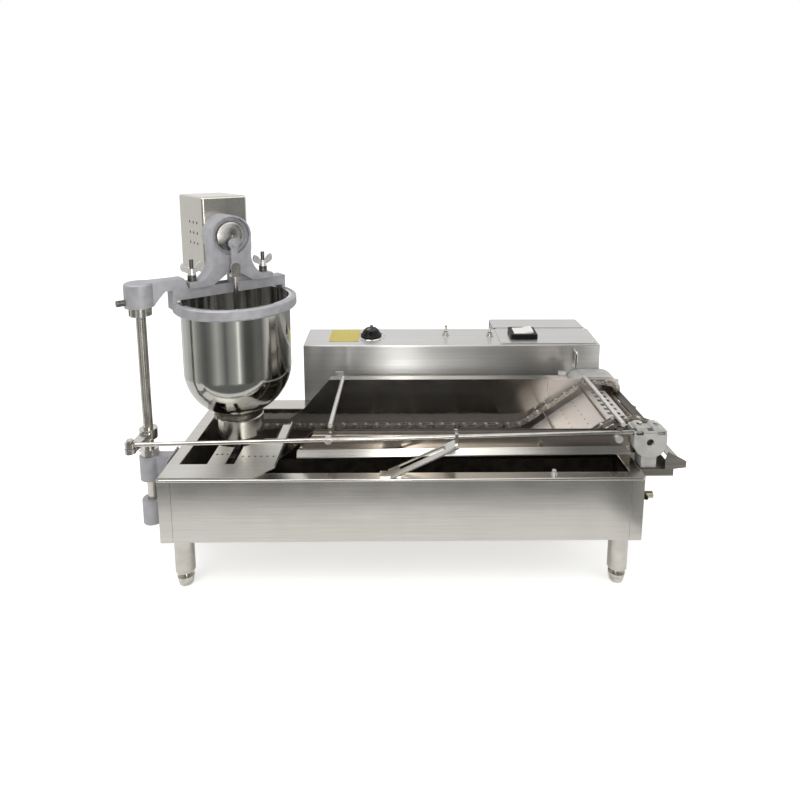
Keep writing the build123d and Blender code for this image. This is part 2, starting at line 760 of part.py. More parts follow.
def foot(x, y):
    stem_top = LEG_LOW + LEG_PLUG + FOOT_STEM_OVER
    profile = [
        (0, 0), (FOOT_R - FOOT_CHAMFER, 0), (FOOT_R, FOOT_CHAMFER),
        (FOOT_SHOULDER_R, FOOT_SHOULDER_Z - FOOT_LAND), (FOOT_SHOULDER_R, FOOT_SHOULDER_Z),
        (FOOT_STEM_R, FOOT_SHOULDER_Z), (FOOT_STEM_R, stem_top), (0, stem_top),
    ]
    return Pos(x, y, 0) * turned(profile)


def drain_cock():
    body = bar_x(DRAIN_Y, DRAIN_Z, DRAIN_R, PAN_X + TOUCH, DRAIN_END)
    body += Pos(COCK_X, DRAIN_Y, DRAIN_Z) * Box(2 * COCK_HALF, 2 * COCK_R, 2 * COCK_R)
    bore_start = COCK_X + COCK_HALF + DRAIN_WALL
    return body - bar_x(DRAIN_Y, DRAIN_Z, DRAIN_R - DRAIN_WALL, bore_start, DRAIN_END + CUT)


def cock_lever():
    low = DRAIN_Z + COCK_R + LOOSE
    high = low + COCK_BOSS
    grip_low = high - COCK_GRIP_THICK
    tip = DRAIN_Y - COCK_LEVER
    body = bar_z(COCK_X, DRAIN_Y, COCK_BOSS_R, low, high)
    body += block(COCK_X - COCK_GRIP_R, COCK_X + COCK_GRIP_R, tip, DRAIN_Y, grip_low, high)
    return body + bar_z(COCK_X, tip, COCK_GRIP_R, grip_low, high)


# Post and what is clamped on it
def post_bore(low, high):
    return bar_z(POST_X, POST_Y, POST_R + RUN, low, high)


def post_brackets():
    wall = -HALF - END_SHEET
    web, wide = BRACKET_WEB / 2, BRACKET_WIDTH / 2
    rim = block(wall - RIM_OVERHANG, wall + CUT, 0, TANK_DEPTH, SHELL_TOP - LOOSE, RIM_TOP + BRACKET_HIGH)
    pieces = []
    for low, floor in ((LOW_BRACKET, BRACKET_FLOOR), (HIGH_BRACKET, -CUT)):
        high = low + BRACKET_HIGH
        body = bar_z(POST_X, POST_Y, BRACKET_R, low, high)
        body += block(POST_X, wall - BRACKET_FLANGE / 2, POST_Y - web, POST_Y + web, low, high)
        body += block(wall - BRACKET_FLANGE, wall, POST_Y - wide, POST_Y + wide, low, high)
        pieces.append(body - rim - post_bore(low + floor, high + CUT))
    return group(pieces)


def hex_bolts():
    face = -HALF - END_SHEET - BRACKET_FLANGE
    pieces = []
    for low in (LOW_BRACKET, HIGH_BRACKET):
        for side in (-1, 1):
            y = POST_Y + side * (BRACKET_WIDTH / 2 - BOLT_INSET)
            spot = Plane((face, y, low + BRACKET_HIGH / 2), z_dir=(-1, 0, 0))
            pieces.append(extrude(spot * RegularPolygon(BOLT_R, 6), BOLT_HEAD))
    cap_y = (END_Y[0] + END_Y[1]) / 2
    for x in (DRIVE_X - END_HUMP_AT, DRIVE_X + END_HUMP_AT):
        spot = Plane((x, cap_y, END_HUMP - END_HUMP_FLAT))
        pieces.append(extrude(spot * RegularPolygon(BOLT_R, 6), BOLT_HEAD))
    return group(pieces)


def post():
    edge = POST_R - POST_CHAMFER
    profile = [
        (0, POST_LOW), (edge, POST_LOW), (POST_R, POST_LOW + POST_CHAMFER), (POST_R, POST_TOP - POST_CHAMFER),
        (edge, POST_TOP), (0, POST_TOP),
    ]
    return Pos(POST_X, POST_Y, 0) * turned(profile)


def thrust_collar():
    low = HIGH_BRACKET + BRACKET_HIGH + LOOSE
    high = low + COLLAR_HIGH
    body = bar_z(POST_X, POST_Y, COLLAR_R, low, high)
    body += bar_x(POST_Y, (low + high) / 2, GRUB_R, POST_X - COLLAR_R - GRUB_OUT, POST_X)
    return body - post_bore(low - CUT, high + CUT)


def lock_nut():
    low = ARM_LOW - NUT_HIGH
    body = bar_z(POST_X, POST_Y, NUT_R, low, ARM_LOW)
    slot = block(
        NUT_R - NUT_NOTCH_DEEP, NUT_R + CUT, -NUT_NOTCH / 2, NUT_NOTCH / 2, low - CUT, ARM_LOW - NUT_LAND
    )
    for turn in (45, 135, 225, 315):
        body -= Pos(POST_X, POST_Y, 0) * Rot(0, 0, turn) * slot
    return body - post_bore(low - CUT, ARM_LOW + CUT)


def swing_lever():
    high = LEVER_LOW + LEVER_THICK
    hub_low, hub_high = LEVER_LOW - LEVER_HUB_UNDER, high + LEVER_HUB_OVER
    span = hypot(PIN_X - POST_X, PIN_Y - POST_Y)
    along = Pos(POST_X, POST_Y, 0) * Rot(0, 0, degrees(atan2(PIN_Y - POST_Y, PIN_X - POST_X)))
    wide, narrow = LEVER_WIDE / 2, LEVER_NARROW / 2
    body = along * prism_z([(0, -wide), (span, -narrow), (span, narrow), (0, wide)], LEVER_LOW, high)
    body += bar_z(POST_X, POST_Y, LEVER_HUB_R, hub_low, hub_high)
    body += bar_z(PIN_X, PIN_Y, LEVER_EYE_R, LEVER_LOW, high)
    body -= post_bore(hub_low - CUT, hub_high + CUT)
    body += bar_z(PIN_X, PIN_Y, PIN_R, LEVER_LOW - PIN_UNDER, PIN_TOP)
    return body + bar_z(PIN_X, PIN_Y, PIN_HEAD_R, PIN_TOP, PIN_TOP + PIN_HEAD)


def link_rod():
    span = hypot(ROD_END_X - PIN_X, ROD_END_Y - PIN_Y)
    along = Pos(PIN_X, PIN_Y, ROD_Z) * Rot(0, 0, degrees(atan2(ROD_END_Y - PIN_Y, ROD_END_X - PIN_X)))
    along *= Rot(0, -degrees(atan2(ROD_END_Z - ROD_Z, span)), 0)
    low, high = ROD_Z - ROD_EYE_HALF, ROD_Z + ROD_EYE_HALF
    body = along * bar_x(0, 0, ROD_R, (PIN_R + ROD_EYE_R) / 2, span)
    body += bar_z(PIN_X, PIN_Y, ROD_EYE_R, low, high)
    return body - bar_z(PIN_X, PIN_Y, PIN_R + LOOSE, low - CUT, high + CUT)


# Forming head, drawn on the hopper axis and turned into place
def arm_casting():
    pad, end, pad_low = RING_SEAT_R, RING_R - CUT, RING_TOP - PAD_HIGH
    step = -YOKE_FOOT - YOKE_STEP_GAP
    under = ARM_TOP - ARM_THICK
    near, far = (POST_U + run for run in ARM_HAUNCH)
    haunch = (2 * near + far) / 3, (ARM_LOW + under) / 2 - ARM_THICK / 6
    side = [
        (POST_U, ARM_TOP), (step - YOKE_STEP_RUN, ARM_TOP), (step, BAR_TOP), (end, BAR_TOP), (end, pad_low),
        (pad, pad_low), (pad, BAR_LOW), (-pad, BAR_LOW), (-pad, pad_low), (-end, pad_low), (-end, under),
        (far, under), (*haunch, near, ARM_LOW), (POST_U, ARM_LOW),
    ]
    low, high = BAR_Y - BAR_HALF, BAR_Y + BAR_HALF
    plan = [
        (POST_U, POST_V - BAR_HALF), (-end, low), (end, low), (end, high), (-end, high),
        (POST_U, POST_V + BAR_HALF),
    ]
    reach = abs(POST_V - BAR_Y) + BAR_HALF + CUT
    body = prism_y(side, BAR_Y - reach, BAR_Y + reach) & prism_z(plan, RING_LOW, ARM_TOP + CUT)
    edge = RING_CHAMFER
    body += turned([
        (RING_IN, RING_LOW + edge), (RING_IN + edge, RING_LOW), (RING_R - edge, RING_LOW),
        (RING_R, RING_LOW + edge), (RING_R, RING_TOP - edge), (RING_R - edge, RING_TOP),
        (RING_SEAT_R, RING_TOP), (RING_SEAT_R, BOWL_SEAT), (RING_IN, BOWL_SEAT),
    ])
    hub = bar_z(POST_U, POST_V, ARM_HUB_R, ARM_LOW, ARM_TOP)
    body += fillet(hub.faces().sort_by(Axis.Z)[-1].edges(), ARM_HUB_ROUND)
    body -= bar_z(POST_U, POST_V, POST_R + RUN, ARM_LOW - CUT, POST_TOP + LOOSE)
    body -= bar_x(POST_V, CLAMP_Z, CLAMP_STEM_R + RUN, POST_U - ARM_HUB_R - CUT, POST_U)
    for u in (-STUD_U, STUD_U):
        body -= bar_z(u, BAR_Y, STUD_R + RUN, BAR_LOW - CUT, BAR_TOP + CUT)
    return HEAD * body


def clamp_screw():
    face = POST_U - ARM_HUB_R - LOOSE
    body = bar_x(POST_V, CLAMP_Z, CLAMP_R, face - CLAMP_LONG, face)
    return HEAD * (body + bar_x(POST_V, CLAMP_Z, CLAMP_STEM_R, face, POST_U - POST_R - TOUCH))


def bowl_arc(radius, neck_r, neck_z):
    """Middle of the arc that leaves the straight wall upright and ends at the neck."""
    drop = BOWL_STRAIGHT - neck_z
    centre = (radius ** 2 - neck_r ** 2 - drop ** 2) / (2 * (radius - neck_r))
    bend = radius - centre
    half = atan2(drop, neck_r - centre) / 2
    return centre + bend * cos(half), BOWL_STRAIGHT - bend * sin(half)


def hopper_bowl():
    inner_r, inner_low, inner_neck = BOWL_R - BOWL_WALL, BOWL_LOW + BOWL_WALL, BOWL_NECK_R - BOWL_WALL / 2
    lip_r, lip_top = BOWL_R + BOWL_LIP, BOWL_SEAT + BOWL_LIP_THICK
    out_mid = bowl_arc(BOWL_R, BOWL_NECK_R, BOWL_LOW)
    in_mid = bowl_arc(inner_r, inner_neck, inner_low)
    profile = [
        (BOWL_HOLE_R, BOWL_LOW), (BOWL_NECK_R, BOWL_LOW), (*out_mid, BOWL_R, BOWL_STRAIGHT),
        (BOWL_R, BOWL_SEAT), (lip_r, BOWL_SEAT), (lip_r, lip_top), (inner_r, lip_top),
        (inner_r, BOWL_STRAIGHT), (*in_mid, inner_neck, inner_low), (BOWL_HOLE_R, inner_low),
    ]
    return HEAD * turned(profile)


def neck_ring():
    low, edge = NECK_LOW, NECK_R - NECK_CHAMFER
    body = turned([
        (BOWL_HOLE_R, low), (edge, low), (NECK_R, low + NECK_CHAMFER), (NECK_R, BOWL_LOW - NECK_CHAMFER),
        (edge, BOWL_LOW), (BOWL_HOLE_R, BOWL_LOW),
    ])
    lug_in = (BOWL_HOLE_R + NECK_R) / 2
    lug_low, lug_high = low + NECK_LUG_INSET, BOWL_LOW - NECK_LUG_INSET
    body += block(-NECK_R - NECK_LUG_OUT, -lug_in, -NECK_LUG_HALF, NECK_LUG_HALF, lug_low, lug_high)
    return HEAD * body


def nozzle():
    inner, skirt, roof = NOZZLE_BORE + NOZZLE_WALL, NOZZLE_R - NOZZLE_WALL, NECK_LOW - NOZZLE_WALL
    lip = NOZZLE_LOW + NOZZLE_LAND
    profile = [
        (NOZZLE_BORE, NOZZLE_LOW), (inner, NOZZLE_LOW), (inner, roof), (skirt, roof), (skirt, lip),
        (NOZZLE_R, lip), (NOZZLE_R, NECK_LOW - NOZZLE_LAND), (NOZZLE_R - NOZZLE_LAND, NECK_LOW),
        (NOZZLE_BORE, NECK_LOW),
    ]
    return HEAD * turned(profile)


def yoke():
    waist, flare_z = CRANK_Z - YOKE_WAIST, YOKE_FOOT_TOP + YOKE_FLARE[1]
    flare, leg = YOKE_HALF + YOKE_FLARE[0], STUD_U - SPACER_R - SPACER_GAP
    profile = [
        (-YOKE_FOOT, BAR_TOP), (-YOKE_FOOT, YOKE_FOOT_TOP), (-leg, YOKE_FOOT_TOP),
        (-flare, flare_z, -YOKE_HALF, waist), (-YOKE_HALF, CRANK_Z),
        (0, CRANK_Z + YOKE_HALF, YOKE_HALF, CRANK_Z), (YOKE_HALF, waist),
        (flare, flare_z, leg, YOKE_FOOT_TOP), (YOKE_FOOT, YOKE_FOOT_TOP), (YOKE_FOOT, BAR_TOP),
    ]
    back, web = BAR_Y + BAR_HALF, YOKE_FRONT + YOKE_WEB
    low, (wide, narrow) = BAR_TOP - CUT, YOKE_POCKET
    body = prism_y(profile, YOKE_FRONT, back)
    body -= prism_y([(-wide, low), (wide, low), (narrow, CRANK_Z), (-narrow, CRANK_Z)], web, back + CUT)
    body += bar_y(0, CRANK_Z, YOKE_HALF, YOKE_FRONT, COVER_FRONT)
    top_u, top_z = WINDOW_TOP[0], BAR_TOP + WINDOW_TOP[1]
    for side, deep in ((-1, web + CUT), (1, YOKE_FRONT + WINDOW_BLIND)):
        window = [
            (side * WINDOW_OUT, low), (side * WINDOW_IN, low), (side * WINDOW_IN, top_z),
            (side * top_u, top_z),
        ]
        body -= prism_y(window, YOKE_FRONT - CUT, deep)
        body -= bar_z(side * STUD_U, BAR_Y, STUD_R + RUN, BAR_TOP - CUT, YOKE_FOOT_TOP + CUT)
    body -= bar_y(0, CRANK_Z, CRANK_R + CRANK_RIM_GAP, YOKE_FRONT - CUT, YOKE_FRONT + CRANK_RECESS)
    return HEAD * (body - bar_y(0, CRANK_Z, CRANK_SHAFT_R + RUN, YOKE_FRONT, COVER_FRONT + CUT))


def studs():
    pieces = []
    for u in (-STUD_U, STUD_U):
        stud = bar_z(u, BAR_Y, STUD_R, BAR_LOW + CUT, STUD_TOP)
        pieces.append(HEAD * (stud + bar_z(u, BAR_Y, SPACER_R, YOKE_FOOT_TOP, SPACER_TOP)))
    return pieces


def wing_nut(side):
    low, hub_top, top = SPACER_TOP + LOOSE, SPACER_TOP + WING_HUB_HIGH, SPACER_TOP + WING_HIGH
    neck = WING_HUB_R - WING_TAPER
    body = turned([(0, low), (WING_HUB_R, low), (neck, hub_top), (0, hub_top)])
    root, tip = WING_HUB_R / 2, WING_SPAN - WING_THICK
    for way in (-1, 1):
        wing = [
            (way * root, low + WING_TAPER), (way * tip, low + WING_HUB_R),
            (way * (WING_SPAN + 1), (low + WING_HUB_R + top) / 2, way * (tip + 1), top),
            (way * (tip - neck), top - WING_THICK), (way * root, hub_top - 1),
        ]
        body += prism_y(wing, -WING_THICK / 2, WING_THICK / 2)
    body -= bar_z(0, 0, STUD_R + RUN, low - CUT, top)
    return HEAD * Pos(side * STUD_U, BAR_Y, 0) * body


def crank_disc():
    disc = bar_y(0, CRANK_Z, CRANK_R, CRANK_FRONT, CRANK_BACK)
    disc = chamfer(disc.faces().sort_by(Axis.Y)[0].edges(), CRANK_CHAMFER)
    inner, outer = CRANK_GROOVE
    dish = bar_y(0, CRANK_Z, outer, CRANK_FRONT - CUT, CRANK_FRONT + CRANK_DISH)
    disc -= dish - bar_y(0, CRANK_Z, inner, CRANK_FRONT - 2 * CUT, CRANK_BACK)
    disc -= bar_y(0, CRANK_Z, CRANK_EYE_R, CRANK_FRONT - CUT, CRANK_FRONT + CRANK_EYE_DEEP)
    return HEAD * (disc + bar_y(0, CRANK_Z, CRANK_SHAFT_R, CRANK_BACK, COVER_FRONT + COVER_WALL - LOOSE))


def connecting_link():
    half = LINK_WIDE / 2
    body = block(-half, half, -LINK_HALF, LINK_HALF, LINK_LOW_Z, LINK_TOP_Z)
    body += bar_y(0, LINK_TOP_Z, LINK_EYE_R, -LINK_HALF, LINK_HALF)
    body += bar_y(0, LINK_LOW_Z, LINK_SMALL_R, -LINK_HALF, LINK_HALF)
    body += bar_y(0, LINK_TOP_Z, LINK_BOSS_R, -LINK_HALF - LINK_BOSS_OUT, CRANK_FRONT - 2 * LOOSE)
    return HEAD * (body - bar_y(0, LINK_LOW_Z, LINK_PIN_R + LOOSE, -LINK_HALF - CUT, LINK_HALF + CUT))


def plunger():
    former_top, piston_top = FORMER_LOW + FORMER_THICK, PISTON_LOW + PISTON_HIGH
    inner, outer = LINK_HALF + LOOSE, LINK_HALF + LOOSE + CLEVIS_THICK
    floor = LINK_LOW_Z - LINK_SMALL_R - CLEVIS_FLOOR
    rod_top = (CLEVIS_LOW + floor) / 2
    profile = [
        (0, FORMER_LOW), (FORMER_R, FORMER_LOW), (FORMER_R, former_top),
        (FORMER_STEM_R, former_top + FORMER_CONE), (FORMER_STEM_R, PISTON_LOW), (PISTON_R, PISTON_LOW),
        (PISTON_R, piston_top), (PLUNGER_R, piston_top + PLUNGER_CONE), (PLUNGER_R, rod_top), (0, rod_top),
    ]
    body = turned(profile) + block(-CLEVIS_R, CLEVIS_R, -outer, outer, CLEVIS_LOW, floor)
    for y0, y1 in ((-outer, -inner), (inner, outer)):
        body += block(-CLEVIS_R, CLEVIS_R, y0, y1, floor, LINK_LOW_Z)
        body += bar_y(0, LINK_LOW_Z, CLEVIS_R, y0, y1)
    return HEAD * (body + bar_y(0, LINK_LOW_Z, LINK_PIN_R, -outer, outer))


def motor_cover():
    (u0, u1), (y0, y1) = COVER_U, (COVER_FRONT, COVER_FRONT + COVER_DEEP)
    z0, z1 = COVER_LOW, COVER_LOW + COVER_HIGH
    body = block(u0, u1, y0, y1, z0, z1)
    body = fillet(body.edges().filter_by(Axis.Z) + body.faces().sort_by(Axis.Z)[-1].edges(), COVER_ROUND)
    wall = COVER_WALL
    body -= block(u0 + wall, u1 - wall, y0 + wall, y1 - wall, z0 - CUT, z1 - wall)
    body -= bar_y(0, CRANK_Z, CRANK_SHAFT_R + LOOSE, y0 - CUT, y0 + wall + CUT)
    for i in (-1, 0, 1):
        for k in (-1, 0, 1):
            y, z = y0 + VENT_IN + i * VENT_PITCH[0], CRANK_Z + k * VENT_PITCH[1]
            body -= bar_x(y, z, VENT_R, u0 - CUT, u0 + wall + CUT)
    return HEAD * body


def head_gear_motor():
    y0 = COVER_FRONT + COVER_WALL
    y1, end = y0 + GEAR_LONG, COVER_FRONT + COVER_DEEP - MOTOR_END_GAP
    body = block(-GEAR_HALF, GEAR_HALF, y0, y1, CRANK_Z - GEAR_DROP, CRANK_Z + GEAR_RISE)
    return HEAD * (body + bar_y(0, CRANK_Z, MOTOR_R, y1, end))


# Drip deck and rod rest
def drip_deck():
    top = DECK_LOW + DECK_THICK
    tongue, side = DECK_RIGHT - DECK_TONGUE, HOPPER_X - DECK_SIDE
    back, middle, corner = HOPPER_Y + DECK_BACK, HOPPER_Y - DECK_MIDDLE, DECK_FRONT + DECK_CORNER
    body = prism_z([
        (-HALF, DECK_FRONT), (DECK_RIGHT - DECK_CORNER, DECK_FRONT), (DECK_RIGHT, corner), (DECK_RIGHT, back),
        (tongue, back), (tongue, middle), (side, middle), (side, DECK_STRIP), (-HALF, DECK_STRIP),
    ], DECK_LOW, top)
    body += block(DECK_RIGHT - DECK_LIP_THICK, DECK_RIGHT, corner, back, DECK_LOW, RIM_TOP + DECK_LIP_HIGH)
    low, high = DECK_LOW - CUT, top + CUT
    body -= bar_z(HOPPER_X, HOPPER_Y, DECK_HOLE_R, low, high + DECK_LIP_HIGH)
    notch, wide = HOPPER_X + DECK_NOTCH[0], DECK_NOTCH[1]
    body -= block(notch, notch + wide, DECK_STRIP, DECK_STRIP + DECK_NOTCH_DEEP, low, high)
    for count, (start, pitch, y) in zip(DECK_DRAIN_COUNTS, DECK_DRAIN_ROWS):
        for k in range(count):
            body -= bar_z(HOPPER_X + start + pitch * k, y, DECK_DRAIN_R, low, high)
    return body


def rod_rest():
    low, foot_x, top = RIM_TOP + TOUCH, REST_X - REST_RUN, REST_ROD_Z + REST_FORK_OVER
    foot_top, under = low + REST_THICK, REST_ROD_Z - ROD_R
    left, right = (foot_x - REST_FOOT_X[0], foot_x + REST_FOOT_X[1])
    body = block(left, right, REST_FOOT_Y - REST_FOOT_HALF, REST_FOOT_Y + REST_FOOT_HALF, low, foot_top)
    run, aside = REST_RUN + REST_THICK, REST_ROD_Y - REST_STRIP_ASIDE - REST_FOOT_Y
    rise = under - REST_STRIP_UNDER - foot_top
    long = hypot(run, aside, rise)
    along = Pos(foot_x, REST_FOOT_Y, foot_top - REST_THICK / 3) * Rot(0, 0, degrees(atan2(aside, run)))
    along *= Rot(0, -degrees(atan2(rise, hypot(run, aside))), 0)
    strip = block(0, long, -REST_WIDE / 2, REST_WIDE / 2, -REST_THICK, 0)
    end, half = REST_SLOT_START + REST_SLOT[0], REST_SLOT[1] / 2
    strip -= block(REST_SLOT_START, end, -half, half, -REST_THICK - CUT, CUT)
    body += along * strip
    body -= block(left, right, REST_FOOT_Y - REST_WIDE, REST_FOOT_Y + REST_WIDE, low - REST_WIDE, low)
    y0, y1 = REST_ROD_Y - REST_HALF, REST_ROD_Y + REST_HALF
    fork = block(REST_X, REST_X + REST_FORK, y0, y1, under - REST_FORK_UNDER, top)
    y0, y1 = REST_ROD_Y - REST_NOTCH_HALF, REST_ROD_Y + REST_NOTCH_HALF
    return body + fork - block(REST_X - CUT, REST_X + REST_FORK + CUT, y0, y1, under - 2 * LOOSE, top + CUT)


# Conveyor side plates
def plate_outline(top, left_top):
    pan_x, floor = PAN_X - PLATE_END_GAP, PAN_FLOOR + SHEET + TOUCH
    arm_top = RIM_TOP - LOW_ARM_UNDER
    foot_left, slant = left_top - 2 * RAIL_SLANT, LOW_ARM_STEP
    points = [(-pan_x, PLATE_LOW)]
    for x in (-PAN_X + PLATE_FEET_IN[0], PAN_X - PLATE_FEET_IN[1]):
        left, right = x - PLATE_FOOT_HALF, x + PLATE_FOOT_HALF
        points += [(left, PLATE_LOW), (left, floor), (right, floor), (right, PLATE_LOW)]
    end, over = DRIVE_X + PLATE_OUT, RIM_TOP + PLATE_OVER
    points += [
        (pan_x, PLATE_LOW), (pan_x, over), (end, over), (end, top), (left_top, top),
        (foot_left, arm_top + slant[1]), (foot_left - slant[0], arm_top), (-pan_x, arm_top),
    ]
    return points


def shaft_holes(y):
    low, high = y - CUT, y + PLATE + CUT
    holes = bar_y(DRIVE_X, DRIVE_Z, DRIVE_SHAFT_R + RUN, low, high)
    holes += bar_y(IDLER_X, IDLER_Z, IDLER_SHAFT_R + RUN, low, high)
    return holes + bar_y(TURNER_X, TURNER_Z, TURNER_R + RUN, low, high)


def rail_foot():
    low, high = RIM_TOP + TOUCH, RAIL_LOW + RAIL_ROUND
    top_left, low_left = (RAIL_RIGHT - inset for inset in RAIL_FOOT_IN)
    profile = [(top_left, high), (low_left, low), (RAIL_RIGHT, low), (RAIL_RIGHT, high)]
    return prism_y(profile, RAIL_FRONT - PLATE, RAIL_FRONT + PLATE / 2)


def front_plate():
    inside = FRONT_PLATE_Y + PLATE
    body = prism_y(plate_outline(RAIL_TOP, RAIL_LEFT + RAIL_SLANT), FRONT_PLATE_Y, inside)
    section = RectangleRounded(RAIL_WIDE, RAIL_HIGH, RAIL_ROUND)
    section -= RectangleRounded(RAIL_WIDE - 2 * PLATE, RAIL_HIGH - 2 * PLATE, RAIL_ROUND - PLATE)
    centre = (inside - RAIL_WIDE / 2, RAIL_LOW + RAIL_HIGH / 2)
    start = Plane((RAIL_LEFT, *centre), x_dir=(0, 1, 0), z_dir=(1, 0, 0))
    rail = extrude(start * section, RAIL_RIGHT - RAIL_LEFT)
    left, low, high = RAIL_LEFT - CUT, RAIL_LOW - CUT, RAIL_TOP + CUT
    corner = [(left, low), (RAIL_LEFT + RAIL_SLANT, high), (left, high)]
    rail -= prism_y(corner, RAIL_FRONT - CUT, inside + CUT)
    saddle_y = RAIL_FRONT + SADDLE_IN
    for x in TIE_X:
        rail += block(x - SADDLE_HALF, x + SADDLE_HALF, saddle_y, inside, RAIL_TOP - PLATE / 2, BACK_TOP)
    body += block(*GUIDE_X, inside - PLATE / 2, FLIGHT_Y[0] - LOOSE, GUIDE_TOP - GUIDE_THICK, GUIDE_TOP)
    return body + rail + rail_foot() - shaft_holes(FRONT_PLATE_Y)


def back_plate():
    body = prism_y(plate_outline(BACK_TOP, BACK_FLANGE_X[0]), BACK_PLATE_Y, BACK_PLATE_Y + PLATE)
    body += block(*BACK_FLANGE_X, BACK_PLATE_Y, BACK_PLATE_Y + BACK_FLANGE, BACK_TOP - PLATE, BACK_TOP)
    body += block(*GUIDE_X, FLIGHT_Y[1] + LOOSE, BACK_PLATE_Y + PLATE / 2, GUIDE_TOP - GUIDE_THICK, GUIDE_TOP)
    return body - shaft_holes(BACK_PLATE_Y)


def tie_rods():
    return [bar_y(x, TIE_Z, TIE_R, TIE_FRONT, BACK_PLATE_Y + PLATE) for x in TIE_X]


def thumb_screws():
    pieces = []
    for x in TIE_X:
        z = RAIL_LOW + RAIL_HIGH / 2 + THUMB_LIFT
        pieces.append(bar_y(x - THUMB_ASIDE, z, THUMB_R, RAIL_FRONT - THUMB_LONG, RAIL_FRONT))
    y, neck, half = BACK_PLATE_Y + BACK_FLANGE / 2, BACK_TOP + WING_SCREW_NECK, WING_SCREW_THICK / 2
    for x in (TIE_X[0] - WING_SCREW_AT[0], BACK_FLANGE_X[1] - WING_SCREW_AT[1]):
        left, right = x - WING_SCREW_HALF, x + WING_SCREW_HALF
        stem = bar_z(x, y, WING_SCREW_R, BACK_TOP, neck + half)
        pieces.append(stem + block(left, right, y - half, y + half, neck, BACK_TOP + WING_SCREW_HIGH))
    return pieces


def rim_stud():
    (x, y), (base_r, base_high), low = RIM_STUD_AT, RIM_STUD_BASE, RIM_TOP + TOUCH
    return bar_z(x, y, RIM_STUD_R, low, RIM_TOP + RIM_STUD_HIGH) + bar_z(x, y, base_r, low, low + base_high)


# Chain, sprockets and flights
def chain_pieces():
    """The chain's closed path in X and Z as straight and round pieces of known length."""
    right, left = DRIVE_X + SPROCKET_PITCH_R, IDLER_X - SPROCKET_PITCH_R
    corners = [
        (RAMP_FOOT_X, UPPER_RUN, BEND_R), (RAMP_HEAD_X, TOP_RUN, BEND_R),
        (right, TOP_RUN, SPROCKET_PITCH_R), (right, END_RETURN, SPROCKET_PITCH_R),
        (RETURN_X, END_RETURN, BEND_R), (RETURN_FOOT_X, LOWER_RUN, BEND_R),
        (left, LOWER_RUN, SPROCKET_PITCH_R), (left, UPPER_RUN, SPROCKET_PITCH_R),
    ]
    rounds = []
    for i, (x, z, r) in enumerate(corners):
        before, after = corners[i - 1], corners[(i + 1) % len(corners)]
        into = atan2(z - before[1], x - before[0])
        out = atan2(after[1] - z, after[0] - x)
        turn = (out - into + pi) % (2 * pi) - pi
        reach = r * tan(abs(turn) / 2)
        start = (x - reach * cos(into), z - reach * sin(into))
        end = (x + reach * cos(out), z + reach * sin(out))
        rounds.append((start, end, into, turn, r))
    pieces = []
    for i, (start, end, into, turn, r) in enumerate(rounds):
        pieces.append((r * abs(turn), start, into, turn, r))
        following = rounds[(i + 1) % len(rounds)][0]
        pieces.append((hypot(following[0] - end[0], following[1] - end[1]), end, into + turn, 0.0, 0.0))
    return pieces


def on_chain(pieces, distance):
    """Place in X and Z at a distance along the chain's path."""
    for long, (x, z), heading, turn, r in pieces:
        if distance <= long:
            break
        distance -= long
    if not turn:
        return x + distance * cos(heading), z + distance * sin(heading)
    side = 1 if turn > 0 else -1
    now = heading + turn * distance / long
    return x + r * side * (sin(now) - sin(heading)), z - r * side * (cos(now) - cos(heading))


def link_ends():
    """Both ends of every link; whole flight spacings fit the path, and the turner lies between two."""
    pieces = chain_pieces()
    total = sum(piece[0] for piece in pieces)
    count = FLIGHT_EVERY * round(total / (FLIGHT_EVERY * CHAIN_PITCH))
    pitch, ahead = total / count, pieces[0][1][0] - TURNER_X - FLIGHT_AHEAD
    first = total - ahead - pitch / 2
    spots = [on_chain(pieces, (first + k * pitch) % total) for k in range(count)]
    return list(zip(spots, spots[1:] + spots[:1]))


def on_link(y, ends):
    (x0, z0), (x1, z1) = ends
    return Pos((x0 + x1) / 2, y, (z0 + z1) / 2) * Rot(0, -degrees(atan2(z1 - z0, x1 - x0)), 0)


def chain(y):
    pieces = []
    half = LINK_HIGH / 2
    for k, ends in enumerate(link_ends()):
        (x0, z0), (x1, z1) = ends
        span = hypot(x1 - x0, z1 - z0)
        reach = span / 2 + LINK_OVER
        inner = k % 2 == 0
        near = ROLLER_HALF if inner else ROLLER_HALF + LINK_PLATE + LINK_GAP
        far = near + LINK_PLATE
        sides = [block(-reach, reach, way * near, way * far, -half, half) for way in (-1, 1)]
        if not inner:
            pieces += [on_link(y, ends) * side for side in sides]
            continue
        link = sides[0] + sides[1]
        for at in (-span / 2, span / 2):
            end = Plane((at, ROLLER_HALF, 0), x_dir=(1, 0, 0), z_dir=(0, -1, 0))
            link += extrude(end * RegularPolygon(ROLLER_R, ROLLER_SIDES), 2 * ROLLER_HALF)
        pieces.append(on_link(y, ends) * link)
    return group(pieces)


def flights():
    half = FLIGHT_THICK / 2
    blade = block(-half, half, *FLIGHT_Y, -FLIGHT_IN, FLIGHT_OUT)
    return group(on_link(0, ends) * blade for ends in link_ends()[::FLIGHT_EVERY])


def sprockets(x, z):
    step = 2 * pi / SPROCKET_TEETH
    tooth = ((-0.36, SPROCKET_ROOT), (-0.12, SPROCKET_TIP), (0.12, SPROCKET_TIP), (0.36, SPROCKET_ROOT))
    points = []
    for k in range(SPROCKET_TEETH):
        for turn, r in tooth:
            points.append((x + r * cos((k + turn) * step), z + r * sin((k + turn) * step)))
    pieces = []
    for y, outward in zip(CHAIN_Y, (-1, 1)):
        wheel = prism_y(points, y - SPROCKET_HALF, y + SPROCKET_HALF)
        pieces.append(wheel + bar_y(x, z, SPROCKET_HUB_R, y, y + outward * (CHAIN_HALF + LOOSE)))
    return pieces[0] + pieces[1]


